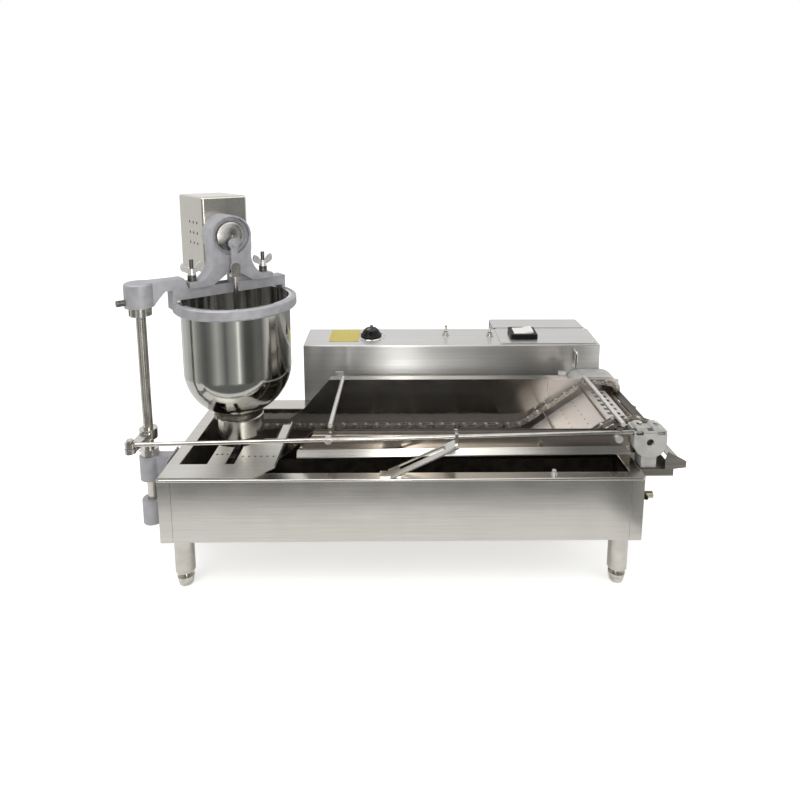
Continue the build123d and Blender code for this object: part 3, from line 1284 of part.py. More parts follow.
def drive_shaft():
    start, end = END_Y[0] + END_SHAFT_IN, CASE_BORE_END - CUT
    return bar_y(DRIVE_X, DRIVE_Z, DRIVE_SHAFT_R, start, end) + sprockets(DRIVE_X, DRIVE_Z)


def idler_shaft():
    shaft = bar_y(IDLER_X, IDLER_Z, IDLER_SHAFT_R, FRONT_PLATE_Y - IDLER_OUT, BACK_PLATE_Y + PLATE)
    collar_y = FRONT_PLATE_Y - LOOSE
    shaft += bar_y(IDLER_X, IDLER_Z, IDLER_SHAFT_R + IDLER_COLLAR, collar_y - IDLER_COLLAR_LONG, collar_y)
    return shaft + sprockets(IDLER_X, IDLER_Z)


def exit_ramp():
    low, high = UPPER_RUN - RAMP_DROP, TOP_RUN - RAMP_DROP
    foot_x = RAMP_FOOT_X + RAMP_DROP * tan(SLOPE / 2)
    head_x = foot_x + (high - low) / tan(SLOPE)
    shift = RAMP_THICK * tan(SLOPE / 2)
    start, end = RAMP_FOOT_X - RAMP_LEAD, DRIVE_X - RAMP_STOP
    profile = [
        (start, low), (foot_x, low), (head_x, high), (end, high), (end, high - RAMP_THICK),
        (head_x + shift, high - RAMP_THICK), (foot_x + shift, low - RAMP_THICK), (start, low - RAMP_THICK),
    ]
    y0, y1 = FLIGHT_Y[0] + RAMP_SIDE_GAP, FLIGHT_Y[1] - RAMP_SIDE_GAP
    body = prism_y(profile, y0, y1)
    deep = 2 * RAMP_THICK
    for inset in SLOT_ROWS_IN:
        for k in range(SLOT_COUNT):
            y = y0 + (y1 - y0) * (k + 0.5) / SLOT_COUNT
            half = SLOT[1] / 2
            body -= block(end - inset, end - inset + SLOT[0], y - half, y + half, high - deep, high + deep)
    rows, across = RAMP_DRAINS
    place = Pos(foot_x, 0, low) * Rot(0, -RAMP_ANGLE, 0)
    long = (head_x - foot_x) / cos(SLOPE)
    for i in range(rows):
        for k in range(across):
            s = long * (i + RAMP_DRAIN_EDGE + 0.5) / (rows + 2 * RAMP_DRAIN_EDGE)
            y = y0 + (y1 - y0) * (k + 0.5) / across
            body -= place * bar_z(s, y, RAMP_DRAIN_R, -deep, deep)
    return body


def turner():
    body = bar_y(TURNER_X, TURNER_Z, TURNER_R, FRONT_PLATE_Y - TURNER_OUT, BACK_PLATE_Y + PLATE)
    high = TURNER_Z + TURNER_LIFT
    low, left = high - TURNER_THICK, TURNER_X - TURNER_BLADE
    y0, y1 = FLIGHT_Y[0] + TURNER_SIDE_GAP, FLIGHT_Y[1] - TURNER_SIDE_GAP
    blade = block(left, TURNER_X, y0, y1, low, high)
    x0, x1 = left + TURNER_EDGE[0], TURNER_X - TURNER_EDGE[1]
    for k in range(TURNER_SLOTS):
        y = y0 + (y1 - y0) * (k + 0.5) / TURNER_SLOTS
        blade -= block(x0, x1, y - TURNER_SLOT / 2, y + TURNER_SLOT / 2, low - CUT, high + CUT)
    return body + blade


# Right end of the conveyor
def rod_slot():
    y0, y1 = ROD_END_Y - ROD_SLOT_UNDER, ROD_END_Y + ROD_SLOT_OVER
    z0, z1 = ROD_END_Z - ROD_SLOT_UNDER, ROD_END_Z + ROD_SLOT_OVER
    return block(RAIL_RIGHT - CUT, ROD_END_X + ROD_SLOT_END, y0, y1, z0, z1)


def split_slots():
    near, far = SPLIT_SLOT
    y0, y1 = END_Y[0] - CUT, END_Y[0] + SPLIT_SLOT_DEEP
    z0, z1 = END_SPLIT - SPLIT_SLOT_Z[0], END_SPLIT + SPLIT_SLOT_Z[1]
    left = block(DRIVE_X - far, DRIVE_X - near, y0, y1, z0, z1)
    return left + block(DRIVE_X + near, DRIVE_X + far, y0, y1, z0, z1)


def end_housing():
    x0, x1, bottom = DRIVE_X - END_HALF, DRIVE_X + END_HALF, DRIVE_Z - END_HALF
    body = prism_y([(x0, END_SPLIT), (x0, DRIVE_Z), (DRIVE_X, bottom, x1, DRIVE_Z), (x1, END_SPLIT)], *END_Y)
    left, right = DRIVE_X - END_NECK_HALF, DRIVE_X + END_NECK_HALF
    y0, y1 = END_Y[0] + END_NECK_INSET, END_Y[1] - END_NECK_INSET
    body += block(left, right, y0, y1, SHELF_TOP, bottom + END_NECK_SINK)
    body -= bar_y(DRIVE_X, DRIVE_Z, DRIVE_SHAFT_R + RUN, END_Y[0] - CUT, END_Y[1] + CUT)
    return body - rod_slot() - split_slots()


def end_cap():
    x0, x1, low = DRIVE_X - END_HALF, DRIVE_X + END_HALF, END_SPLIT + TOUCH
    profile = [(x0, low), (x0, END_CAP_TOP)]
    for x in (DRIVE_X - END_HUMP_AT, DRIVE_X + END_HUMP_AT):
        profile += [(x - END_HUMP_R, END_CAP_TOP), (x, END_HUMP, x + END_HUMP_R, END_CAP_TOP)]
    profile += [(x1, END_CAP_TOP), (x1, low)]
    body = prism_y(profile, END_Y[0] + END_CAP_INSET, END_Y[1] - END_CAP_INSET)
    body -= block(x0, x1, END_Y[0], END_Y[1], END_HUMP - END_HUMP_FLAT, END_HUMP + CUT)
    return body - rod_slot() - split_slots()


def case_profile(r):
    return [
        (CASE_X, DRIVE_Z + r), (CASE_X - r, DRIVE_Z, CASE_X, DRIVE_Z - r), (DRIVE_X, DRIVE_Z - r),
        (DRIVE_X + r, DRIVE_Z, DRIVE_X, DRIVE_Z + r),
    ]


def drive_case():
    y0, y1 = CASE_Y
    body = prism_y(case_profile(CASE_R), y0, y1)
    body -= prism_y(case_profile(CASE_R - CASE_WALL), y0 + CASE_FACE, y1 + CUT)
    return body - bar_y(DRIVE_X, DRIVE_Z, DRIVE_SHAFT_R + RUN, y0 - CUT, CASE_BORE_END)


def drip_shelf():
    wall = HALF + END_SHEET + TOUCH
    y0, y1 = SHELF_Y
    body = block(wall, SHELF_END, y0, y1, SHELF_TOP - SHELF_THICK, SHELF_TOP)
    body += block(wall, wall + SHELF_THICK, y0, y1, SHELF_TOP - SHELF_FLANGE, SHELF_TOP)
    for y in (y0, y1 - SHELF_THICK):
        body += block(wall, SHELF_END, y, y + SHELF_THICK, SHELF_TOP - SHELF_LIP, SHELF_TOP)
    return body


def discharge_chute():
    x0, z0 = DRIVE_X + CHUTE_AT[0], SHELF_TOP + CHUTE_AT[1]
    x1, z1 = x0 + CHUTE_RUN[0], z0 + CHUTE_RUN[1]
    slide = [(x0, z0), (x1, z1), (x1, z1 - CHUTE_THICK), (x0, z0 - CHUTE_THICK)]
    body = prism_y(slide, *CHUTE_Y)
    back, foot = x0 - CHUTE_CHEEK_BACK[0], SHELF_TOP + TOUCH
    cheek = [
        (x0, z0 + CHUTE_CHEEK), (x1, z1 + CHUTE_CHEEK), (x1, z1 - CHUTE_CHEEK_TOE), (SHELF_END, foot),
        (back, foot), (back, z0 - CHUTE_CHEEK_BACK[1]),
    ]
    for y in (CHUTE_Y[0], CHUTE_Y[1] - PLATE):
        body += prism_y(cheek, y, y + PLATE)
    return body


# Control box and its panel
def on_panel(from_left, along):
    return Pos(BOX_X[0] + from_left, BOX_Y[0], BOX_Z[1]) * Rot(PANEL_TILT, 0, 0) * Pos(0, along, 0)


def box_section(inset, low):
    (y0, y1), top = BOX_Y, BOX_Z[1] - inset
    return [(y0 + inset, low), (y0 + inset, top), (y1 - inset, top + BOX_RISE), (y1 - inset, low)]


def control_box():
    x0, x1 = BOX_X
    body = prism_x(box_section(0, BOX_Z[0]), x0, x1)
    body = fillet(body.edges().filter_by(Axis.X).sort_by(Axis.Z)[-2:], BOX_ROUND)
    body -= prism_x(box_section(SHEET, BOX_Z[0] - CUT), x0 + SHEET, x1 - SHEET)
    spindle = bar_z(0, 0, KNOB_SPINDLE_R + KNOB_HOLE_GAP, -KNOB_SPINDLE_DEEP, KNOB_SPINDLE_DEEP)
    edge, low = SHEET + TOUCH, BOX_Z[0] + BOX_BASE_UP
    base = block(x0 + edge, x1 - edge, BOX_Y[0] + edge, BOX_Y[1] - edge, low, low + SHEET)
    return group([body - on_panel(*KNOB_AT) * spindle, base])


def gland_spot():
    return BACK_COVER_X[0] + GLAND_AT[0], BACK_COVER_Z[0] + GLAND_AT[1]


def back_cover():
    (x0, x1), (z0, z1) = BACK_COVER_X, BACK_COVER_Z
    y0, y1 = BOX_Y[1] + TOUCH, BACK_COVER_Y
    body = block(x0, x1, y0, y1, z0, z1)
    body = fillet(body.faces().sort_by(Axis.Y)[-1].edges().filter_by(Axis.Z), BACK_COVER_ROUND)
    body -= block(x0 + SHEET, x1 - SHEET, y0 - CUT, y1 - SHEET, z0 + SHEET, z1 - SHEET)
    for row in range(LOUVRE_ROWS):
        for column in (-1, 1):
            x, z = (x0 + x1) / 2 + column * LOUVRE_ASIDE, z0 + LOUVRE_LIFT + LOUVRE_PITCH * row
            half = LOUVRE[0] / 2
            body -= block(x - half, x + half, y1 - SHEET - CUT, y1 + CUT, z, z + LOUVRE[1])
    return body - bar_y(*gland_spot(), GLAND_BORE + TOUCH, y1 - SHEET - CUT, y1 + CUT)


def cable_gland():
    x, z = gland_spot()
    y0, y1 = BACK_COVER_Y, BACK_COVER_Y + GLAND_LONG
    body = extrude(Plane((x, y0, z), z_dir=(0, 1, 0)) * RegularPolygon(GLAND_R, 6), GLAND_HEX)
    body += bar_y(x, z, GLAND_R - GLAND_STEP, y0, y1)
    return body - bar_y(x, z, GLAND_BORE, y0 - CUT, y1 + CUT)


def conveyor_gear_motor():
    x0, x1 = (BACK_COVER_X[1] - inset for inset in DRIVE_GEAR_IN)
    y0, y1 = BOX_Y[1] + TOUCH, BACK_COVER_Y - DRIVE_MOTOR_GAP
    low, high = DRIVE_MOTOR_Z - DRIVE_GEAR_HALF, DRIVE_MOTOR_Z + DRIVE_GEAR_HALF
    motor = bar_x((y0 + y1) / 2, DRIVE_MOTOR_Z, DRIVE_MOTOR_R, BACK_COVER_X[0] + DRIVE_MOTOR_IN, x0)
    return block(x0, x1, y0, y1, low, high) + motor


def switch_plate():
    (x0, x1), edge = SWITCH_PLATE_IN, SWITCH_PLATE_EDGE
    body = block(x0, x1, edge, hypot(BOX_RISE, BOX_DEEP) - edge, TOUCH, SWITCH_PLATE_THICK)
    return on_panel(0, 0) * fillet(body.edges().filter_by(Axis.Z), SWITCH_PLATE_ROUND)


def blank_plate():
    long, deep = BLANK_SIZE
    return on_panel(*BLANK_AT) * block(-long / 2, long / 2, -deep / 2, deep / 2, TOUCH / 2, BLANK_THICK)


def dial_bezel():
    hole = KNOB_SPINDLE_R + KNOB_HOLE_GAP
    profile = [(hole, TOUCH), (BEZEL_R, TOUCH), (BEZEL_R - BEZEL_CHAMFER, BEZEL_THICK), (hole, BEZEL_THICK)]
    return on_panel(*KNOB_AT) * turned(profile)


def knob():
    low, neck, crown = BEZEL_THICK + LOOSE, KNOB_R - KNOB_STEP, KNOB_R - KNOB_STEP - KNOB_TAPER
    body = turned([
        (0, low), (KNOB_R, low), (KNOB_R, low + KNOB_SKIRT), (neck, low + KNOB_WAIST),
        (crown, KNOB_HIGH - KNOB_CROWN), (crown - KNOB_CROWN, KNOB_HIGH), (0, KNOB_HIGH),
    ])
    half = KNOB_GRIP / 2
    body += block(-half, half, -neck + TOUCH, neck - TOUCH, low + KNOB_WAIST, KNOB_HIGH + KNOB_GRIP_OVER)
    return on_panel(*KNOB_AT) * (body + bar_z(0, 0, KNOB_SPINDLE_R, -KNOB_SPINDLE_DEEP, low))


def switch_bezel():
    (long, deep), (hole_x, hole_y) = SWITCH_SIZE, SWITCH_OPEN
    low, high = SWITCH_PLATE_THICK, SWITCH_PLATE_THICK + SWITCH_HIGH
    body = block(-long / 2, long / 2, -deep / 2, deep / 2, low, high)
    body = fillet(body.edges().filter_by(Axis.Z), SWITCH_ROUND)
    body = chamfer(body.faces().sort_by(Axis.Z)[-1].edges(), SWITCH_CHAMFER)
    body -= block(-hole_x / 2, hole_x / 2, -hole_y / 2, hole_y / 2, low + SWITCH_FLOOR, high + CUT)
    return on_panel(*SWITCH_AT) * body


def rocker():
    half, deep = (size / 2 - ROCKER_GAP for size in SWITCH_OPEN)
    profile = [
        (-half, -ROCKER_UNDER), (0, -ROCKER_UNDER - ROCKER_V), (half, -ROCKER_UNDER), (half, ROCKER_OVER),
        (0, ROCKER_OVER - ROCKER_V), (-half, ROCKER_OVER),
    ]
    pivot = on_panel(*SWITCH_AT) * Pos(0, 0, SWITCH_PLATE_THICK + ROCKER_AXIS)
    return pivot * Rot(0, -ROCKER_TILT, 0) * prism_y(profile, -deep, deep)


def toggle_bushes():
    nut = TOGGLE_R + TOGGLE_NUT
    profile = [
        (TOGGLE_BORE, TOUCH), (nut, TOUCH), (nut, TOGGLE_NUT), (TOGGLE_R, TOGGLE_NUT),
        (TOGGLE_R, TOGGLE_NECK), (TOGGLE_BORE, TOGGLE_NECK),
    ]
    return [on_panel(*spot) * turned(profile) for spot in TOGGLE_AT]


def toggle(spot):
    stem, top = TOGGLE_STEM_R, TOGGLE_TOP - TOGGLE_AXIS
    profile = [
        (0, -stem), (stem, -stem), (stem, TOGGLE_NECK - TOGGLE_AXIS), (TOGGLE_TIP_R, top - TOGGLE_TIP),
        (stem, top), (0, top),
    ]
    return on_panel(*spot) * Pos(0, 0, TOGGLE_AXIS) * Rot(TOGGLE_TILT, 0, 0) * turned(profile)


def pull_handle():
    low, high = (BOX_Z[1] - drop for drop in HANDLE_DROP)
    face, out = BOX_Y[0], BOX_Y[0] - HANDLE_REACH
    route = [(HANDLE_X, face, low), (HANDLE_X, out, low), (HANDLE_X, out, high), (HANDLE_X, face, high)]
    path = FilletPolyline(*route, radius=HANDLE_BEND)
    return sweep(Plane(route[0], z_dir=(0, -1, 0)) * Circle(HANDLE_R), path)


nodes = {
    "tank_shell": tank_shell(),
    "end_panels": end_panels(),
    "oil_pan": oil_pan(),
    "heater": heater(),
    "legs": legs(),
    "foot_front_left": foot(-LEG_X, LEG_Y[0]),
    "foot_front_right": foot(LEG_X, LEG_Y[0]),
    "foot_back_left": foot(-LEG_X, LEG_Y[1]),
    "foot_back_right": foot(LEG_X, LEG_Y[1]),
    "drain_cock": drain_cock(),
    "cock_lever": cock_lever(),
    "post_brackets": post_brackets(),
    "post": post(),
    "post_collars": group([thrust_collar(), lock_nut()]),
    "hex_bolts": hex_bolts(),
    "swing_lever": swing_lever(),
    "link_rod": link_rod(),
    "arm_casting": arm_casting(),
    "hopper_bowl": hopper_bowl(),
    "neck_ring": neck_ring(),
    "nozzle": nozzle(),
    "yoke": yoke(),
    "head_studs": group([*studs(), clamp_screw()]),
    "wing_nut_left": wing_nut(-1),
    "wing_nut_right": wing_nut(1),
    "crank_disc": crank_disc(),
    "connecting_link": connecting_link(),
    "plunger": plunger(),
    "motor_cover": motor_cover(),
    "head_gear_motor": head_gear_motor(),
    "drip_deck": drip_deck(),
    "rod_rest": rod_rest(),
    "front_plate": front_plate(),
    "back_plate": back_plate(),
    "tie_rods": group([*tie_rods(), *thumb_screws(), rim_stud()]),
    "chain_front": chain(CHAIN_Y[0]),
    "chain_back": chain(CHAIN_Y[1]),
    "flights": flights(),
    "drive_shaft": drive_shaft(),
    "idler_shaft": idler_shaft(),
    "exit_ramp": exit_ramp(),
    "turner": turner(),
    "end_housing": end_housing(),
    "end_cap": end_cap(),
    "drive_case": drive_case(),
    "drip_shelf": drip_shelf(),
    "discharge_chute": discharge_chute(),
    "control_box": control_box(),
    "back_cover": back_cover(),
    "cable_gland": cable_gland(),
    "conveyor_gear_motor": conveyor_gear_motor(),
    "switch_plate": switch_plate(),
    "blank_plate": blank_plate(),
    "panel_bushes": group([dial_bezel(), *toggle_bushes()]),
    "knob": knob(),
    "switch_bezel": switch_bezel(),
    "rocker": rocker(),
    "toggle_left": toggle(TOGGLE_AT[0]),
    "toggle_right": toggle(TOGGLE_AT[1]),
    "pull_handle": pull_handle(),
}

boxes = [piece.bounding_box() for piece in nodes.values()]
middle_x = (min(box.min.X for box in boxes) + max(box.max.X for box in boxes)) / 2
middle_y = (min(box.min.Y for box in boxes) + max(box.max.Y for box in boxes)) / 2
os.makedirs("parts", exist_ok=True)
for name, piece in nodes.items():
    export_step(Pos(-middle_x, -middle_y, 0) * piece, f"parts/{name}.step")
print("origin in the drawing frame", round(middle_x, 3), round(middle_y, 3), "pieces", len(nodes))
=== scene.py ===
import json
from math import atan2, copysign, cos, pi, radians, sin

import bmesh
import bpy
from mathutils import Matrix, Vector

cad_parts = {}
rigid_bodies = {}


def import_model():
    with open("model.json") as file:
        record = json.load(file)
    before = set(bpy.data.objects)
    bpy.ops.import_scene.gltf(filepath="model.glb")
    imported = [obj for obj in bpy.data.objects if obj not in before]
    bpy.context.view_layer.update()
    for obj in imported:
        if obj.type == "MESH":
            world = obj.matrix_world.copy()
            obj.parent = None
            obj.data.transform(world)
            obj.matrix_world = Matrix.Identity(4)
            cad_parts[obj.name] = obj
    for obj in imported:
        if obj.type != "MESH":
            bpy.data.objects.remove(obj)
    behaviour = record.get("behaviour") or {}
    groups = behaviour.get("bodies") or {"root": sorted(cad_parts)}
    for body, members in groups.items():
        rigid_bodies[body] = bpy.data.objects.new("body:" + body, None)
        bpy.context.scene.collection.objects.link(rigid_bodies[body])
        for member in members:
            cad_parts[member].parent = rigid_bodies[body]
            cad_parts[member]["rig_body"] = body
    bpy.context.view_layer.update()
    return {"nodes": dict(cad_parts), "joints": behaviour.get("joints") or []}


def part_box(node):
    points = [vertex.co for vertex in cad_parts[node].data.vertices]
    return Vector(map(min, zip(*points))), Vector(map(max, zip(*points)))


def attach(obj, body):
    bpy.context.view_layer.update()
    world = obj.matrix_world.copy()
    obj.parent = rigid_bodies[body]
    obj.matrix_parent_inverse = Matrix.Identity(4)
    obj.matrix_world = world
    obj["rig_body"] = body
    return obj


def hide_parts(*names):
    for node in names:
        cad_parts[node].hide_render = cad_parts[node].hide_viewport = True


for leftover in list(bpy.data.objects):
    bpy.data.objects.remove(leftover)
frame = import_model()
nodes = frame["nodes"]

# Fryer tank: a box folded from stainless sheet and two end panels wrapped round its corners, all brushed
# lengthways. Most of the machine's sheet work has this finish.
MM = 0.001
STEEL_DEEP, STEEL_PALE = "#c1beb8", "#cbc8c3"
# Real brush lines are about 0.1 mm wide, too fine to show, so they are drawn as coarse as this.
LINE_MM, LINE_RUN, END_ON = 1.6, 110, 0.8
GROOVE_SHARE, GROOVE_DEEP, SMEAR_MM = 0.03, 0.1 * MM, 71.43
TONE_LOW, TONE_HIGH = 0.35, 0.65


def linear(code):
    """An sRGB hex colour as linear red, green, blue and alpha."""
    parts = [int(code[i:i + 2], 16) / 255 for i in (1, 3, 5)]
    return [c / 12.92 if c <= 0.04045 else ((c + 0.055) / 1.055) ** 2.4 for c in parts] + [1.0]


def add(tree, kind, settings=None, values=None, links=None):
    """One node of a material with its properties, fixed inputs and incoming links."""
    node = tree.nodes.new("ShaderNode" + kind)
    for name, value in (settings or {}).items():
        setattr(node, name, value)
    for name, value in (values or {}).items():
        node.inputs[name].default_value = value
    for name, source in (links or {}).items():
        tree.links.new(source, node.inputs[name])
    return node


def new_material(name, **values):
    """A material with its surface shader, and the node tree to add the finish to."""
    material = bpy.data.materials.new(name)
    material.use_nodes = True
    surface = material.node_tree.nodes["Principled BSDF"]
    for socket, value in values.items():
        surface.inputs[socket.replace("_", " ")].default_value = value
    return material, material.node_tree, surface


def link_up(surface, **sources):
    """Joins finished patterns to the sockets of the surface shader."""
    for socket, source in sources.items():
        surface.id_data.links.new(source, surface.inputs[socket.replace("_", " ")])


def two_tone(tree, source, deep, pale):
    """A colour that runs from deep to pale as the pattern rises."""
    tone = add(tree, "ValToRGB", links={"Fac": source})
    first, last = tone.color_ramp.elements
    first.position, last.position = TONE_LOW, TONE_HIGH
    first.color, last.color = linear(deep), linear(pale)
    return tone.outputs["Color"]


def dress(material, *names):
    """Gives CAD nodes one finished material."""
    for name in names:
        slots = nodes[name].data.materials
        slots.clear()
        slots.append(material)


def brushed_steel(name, along, rough, deep, pale, line_mm=LINE_MM, drawn_out=0.5, metal=1.0):
    """Brushed steel: fine lines one way, turned on faces that they would meet end on, with the gloss drawn
    out across them and smeared by hands."""
    material, tree, surface = new_material(name, Metallic=metal, Anisotropic=drawn_out)
    place = add(tree, "TexCoord").outputs["Object"]
    facing = add(tree, "NewGeometry").outputs["Normal"]
    towards = add(tree, "SeparateXYZ", links={"Vector": facing}).outputs[along]
    square = add(tree, "Math", {"operation": "ABSOLUTE"}, {}, {0: towards}).outputs[0]
    end_on = add(tree, "Math", {"operation": "GREATER_THAN"}, {1: END_ON}, {0: square}).outputs[0]
    turned = "X" if along == "Y" else "Y"
    ways = [Vector([float(letter == way) for letter in "XYZ"]) for way in (along, turned)]
    fine = Vector((1, 1, 1)) / (line_mm * MM)
    scales = [fine - way * fine.x * (1 - 1 / LINE_RUN) for way in ways]
    scale, brush = (
        add(tree, "Mix", {"data_type": "VECTOR"}, {4: plain, 5: at_end}, {0: end_on}).outputs[1]
        for plain, at_end in (scales, ways)
    )
    stretch = add(tree, "Mapping", links={"Vector": place, "Scale": scale}).outputs["Vector"]
    values = {"Scale": 1.0, "Detail": 3.0}
    lines = add(tree, "TexNoise", values=values, links={"Vector": stretch}).outputs["Fac"]
    values = {"Scale": 1 / (SMEAR_MM * MM), "Detail": 3.0}
    smear = add(tree, "TexNoise", values=values, links={"Vector": place}).outputs["Fac"]
    values = {"From Min": 0.3, "From Max": 0.7, "To Min": rough - 0.02, "To Max": rough + 0.03}
    gloss = add(tree, "MapRange", values=values, links={"Value": smear}).outputs["Result"]
    values = {"Strength": GROOVE_SHARE, "Distance": GROOVE_DEEP}
    grooves = add(tree, "Bump", values=values, links={"Height": lines})
    drawn = add(tree, "VectorMath", {"operation": "CROSS_PRODUCT"}, {}, {0: facing, 1: brush})
    link_up(
        surface, Base_Color=two_tone(tree, lines, deep, pale), Roughness=gloss,
        Normal=grooves.outputs["Normal"], Tangent=drawn.outputs["Vector"],
    )
    return material


# Brushed stainless shows its surroundings as soft streaks across the lines, in a slightly warm grey.
sheet_along = brushed_steel("stainless_brushed_lengthways", "X", 0.2, STEEL_DEEP, STEEL_PALE)
dress(sheet_along, "tank_shell", "end_panels")

# Oil pan: a deep-drawn stainless tub that hangs in the tank by its rolled rim. Inside it, painted shade turns
# the steel a dark brown up to a ragged line below the rim.
# Painted shade and light: its line under the rim, its browns, the front walls' pale painted light, edge and
# gloss.
PAN_EDGE_MM, SHADE_UNDER_RIM = 2.2, 5 * MM
SHADE_DEEP, SHADE_PALE, FRONT_LIGHT_TONE = "#1f1b17", "#3d352d", "#d6ccc0"
SHADE_FADE, SHADE_RAGGED, SHADE_GRAIN_MM = 9 * MM, 4 * MM, 16.67
SHADE_COVER, SHADE_ROUGH, SHADE_FULL = 0.96, 0.34, 0.75
MERGE, FLAT_ANGLE, CORNER_ANGLE = 0.01 * MM, radians(2), radians(28)
rim_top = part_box("oil_pan")[1].z


def lay_over(material, mask, **finish):
    """Lays another finish over a surface where the mask is 1, each socket given as a value or a pattern."""
    tree, surface = material.node_tree, material.node_tree.nodes["Principled BSDF"]
    for name, over in finish.items():
        socket = surface.inputs[name.replace("_", " ")]
        under = socket.links[0].from_socket if socket.links else socket.default_value
        kind, first, second, out = ("RGBA", 6, 7, 2) if socket.type == "RGBA" else ("FLOAT", 2, 3, 0)
        mix = add(tree, "Mix", {"data_type": kind}, {}, {0: mask})
        for index, source in ((first, under), (second, over)):
            if isinstance(source, bpy.types.NodeSocket):
                tree.links.new(source, mix.inputs[index])
            else:
                mix.inputs[index].default_value = source
        tree.links.new(mix.outputs[out], socket)


def painted_pan_shade(material, shade_line, shade_metal=0.3, dark_tops=0.0, lit_front=0.0):
    """Paints brown shade below a ragged line, darkens upward faces, paints light on walls facing the front.
    """
    tree = material.node_tree
    place = add(tree, "TexCoord").outputs["Object"]
    height = add(tree, "SeparateXYZ", links={"Vector": place}).outputs["Z"]
    facing = add(tree, "SeparateXYZ", links={"Vector": add(tree, "NewGeometry").outputs["Normal"]}).outputs
    values = {"Scale": 1 / (SHADE_GRAIN_MM * MM), "Detail": 5.0}
    ragged = add(tree, "TexNoise", values=values, links={"Vector": place}).outputs["Fac"]
    values = {"To Min": -SHADE_RAGGED, "To Max": SHADE_RAGGED}
    edge = add(tree, "MapRange", values=values, links={"Value": ragged}).outputs["Result"]
    level = add(tree, "Math", {"operation": "ADD"}, {}, {0: height, 1: edge}).outputs[0]
    soft = {"interpolation_type": "SMOOTHSTEP"}
    # Painted shade: the steel darkens below the ragged line, deep in the pan.
    values = {"From Min": shade_line - SHADE_FADE, "From Max": shade_line, "To Min": SHADE_COVER, "To Max": 0.0}
    film = add(tree, "MapRange", soft, values, {"Value": level}).outputs["Result"]
    brown_tone = two_tone(tree, ragged, SHADE_DEEP, SHADE_PALE)
    # Faces that point up are darkened in the same brown.
    if dark_tops:
        values = {"From Min": 0.5, "From Max": 0.9, "To Max": dark_tops}
        upward = add(tree, "MapRange", values=values, links={"Value": facing["Z"]}).outputs["Result"]
        film = add(tree, "Math", {"operation": "MAXIMUM"}, {}, {0: film, 1: upward}).outputs[0]
    # Painted light: walls that face the front are lightened towards a pale brown.
    if lit_front:
        values = {"From Min": -0.5, "From Max": -0.9, "To Max": lit_front}
        front = add(tree, "MapRange", values=values, links={"Value": facing["Y"]}).outputs["Result"]
        front_light_mix = add(tree, "Mix", {"data_type": "RGBA"}, {7: linear(FRONT_LIGHT_TONE)}, {0: front, 6: brown_tone})
        brown_tone = front_light_mix.outputs[2]
    thick = add(tree, "MapRange", values={"From Min": SHADE_FULL}, links={"Value": film}).outputs["Result"]
    lay_over(material, film, Base_Color=brown_tone, Roughness=SHADE_ROUGH)
    lay_over(material, thick, Metallic=shade_metal)


def finish_piece(name, shape, body, material, flat_above=50):
    """A finished mesh as a piece of the object: broad faces stay flat, edges below an angle shade softly."""
    mesh = bpy.data.meshes.new(name)
    shape.to_mesh(mesh)
    shape.free()
    mesh.materials.append(material)
    around = [[] for _ in mesh.vertices]
    for face in mesh.polygons:
        face.use_smooth = True
        for vert in face.vertices:
            around[vert].append((face.normal.copy(), face.area))
    facing = []
    for face in mesh.polygons:
        for vert in face.vertices:
            near = (n * area for n, area in around[vert] if n.dot(face.normal) > cos(radians(flat_above)))
            facing.append(sum(near, Vector()).normalized())
    mesh.normals_split_custom_set(facing)
    piece = bpy.data.objects.new(name, mesh)
    bpy.context.scene.collection.objects.link(piece)
    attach(piece, body)
    return piece


def soften(name, edge_mm, material, segments=2, reshape=None):
    """Stands a copy with rounded edges in the place of a CAD node, after any change to its outline."""
    shape = bmesh.new()
    shape.from_mesh(nodes[name].data)
    bmesh.ops.remove_doubles(shape, verts=shape.verts, dist=MERGE)
    bmesh.ops.dissolve_limit(shape, angle_limit=FLAT_ANGLE, verts=shape.verts, edges=shape.edges)
    if reshape:
        reshape(shape)
    corners = [edge for edge in shape.edges if edge.is_manifold and edge.calc_face_angle() > CORNER_ANGLE]
    bmesh.ops.bevel(
        shape, geom=corners, offset=edge_mm * MM, offset_type="OFFSET", affect="EDGES", segments=segments,
        profile=0.5, material=-1, clamp_overlap=True,
    )
    piece = finish_piece(name + "_piece", shape, nodes[name]["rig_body"], material)
    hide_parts(name)


# The painted shade turns the steel near black, except on the back wall facing the front, which painted light
# makes a pale brown.
pan_sheet = brushed_steel("stainless_drawn_painted_shade", "X", 0.2, STEEL_DEEP, STEEL_PALE)
painted_pan_shade(pan_sheet, rim_top - SHADE_UNDER_RIM, shade_metal=0.15, lit_front=0.9)
soften("oil_pan", PAN_EDGE_MM, pan_sheet, segments=4)

# Heater: a steel tube bent into a loop that lies on the pan's floor, in the oil. Glowing has left straw,
# bronze and blue patches on it, with a dull shine.
TINT_MM = 28.57
heater_tube, tree, surface = new_material("heater_tube_heat_tinted", Metallic=1.0, Roughness=0.42)
place = add(tree, "TexCoord").outputs["Object"]
values = {"Scale": 1 / (TINT_MM * MM), "Detail": 4.0}
patches = add(tree, "TexNoise", values=values, links={"Vector": place}).outputs["Fac"]
tint = add(tree, "ValToRGB", links={"Fac": patches})
cool, hot = tint.color_ramp.elements
cool.color, hot.color = linear("#2c3038"), linear("#8a7350")
tint.color_ramp.elements.new(0.5).color = linear("#4d3b38")
link_up(surface, Base_Color=tint.outputs["Color"])
dress(heater_tube, "heater")

# Legs and screw feet: round stainless tubes welded under the tank, a bead of weld round each top, and turned
# feet that screw up and down in them.
WELD_R, WELD_DOWN = 1.3 * MM, 1.2 * MM


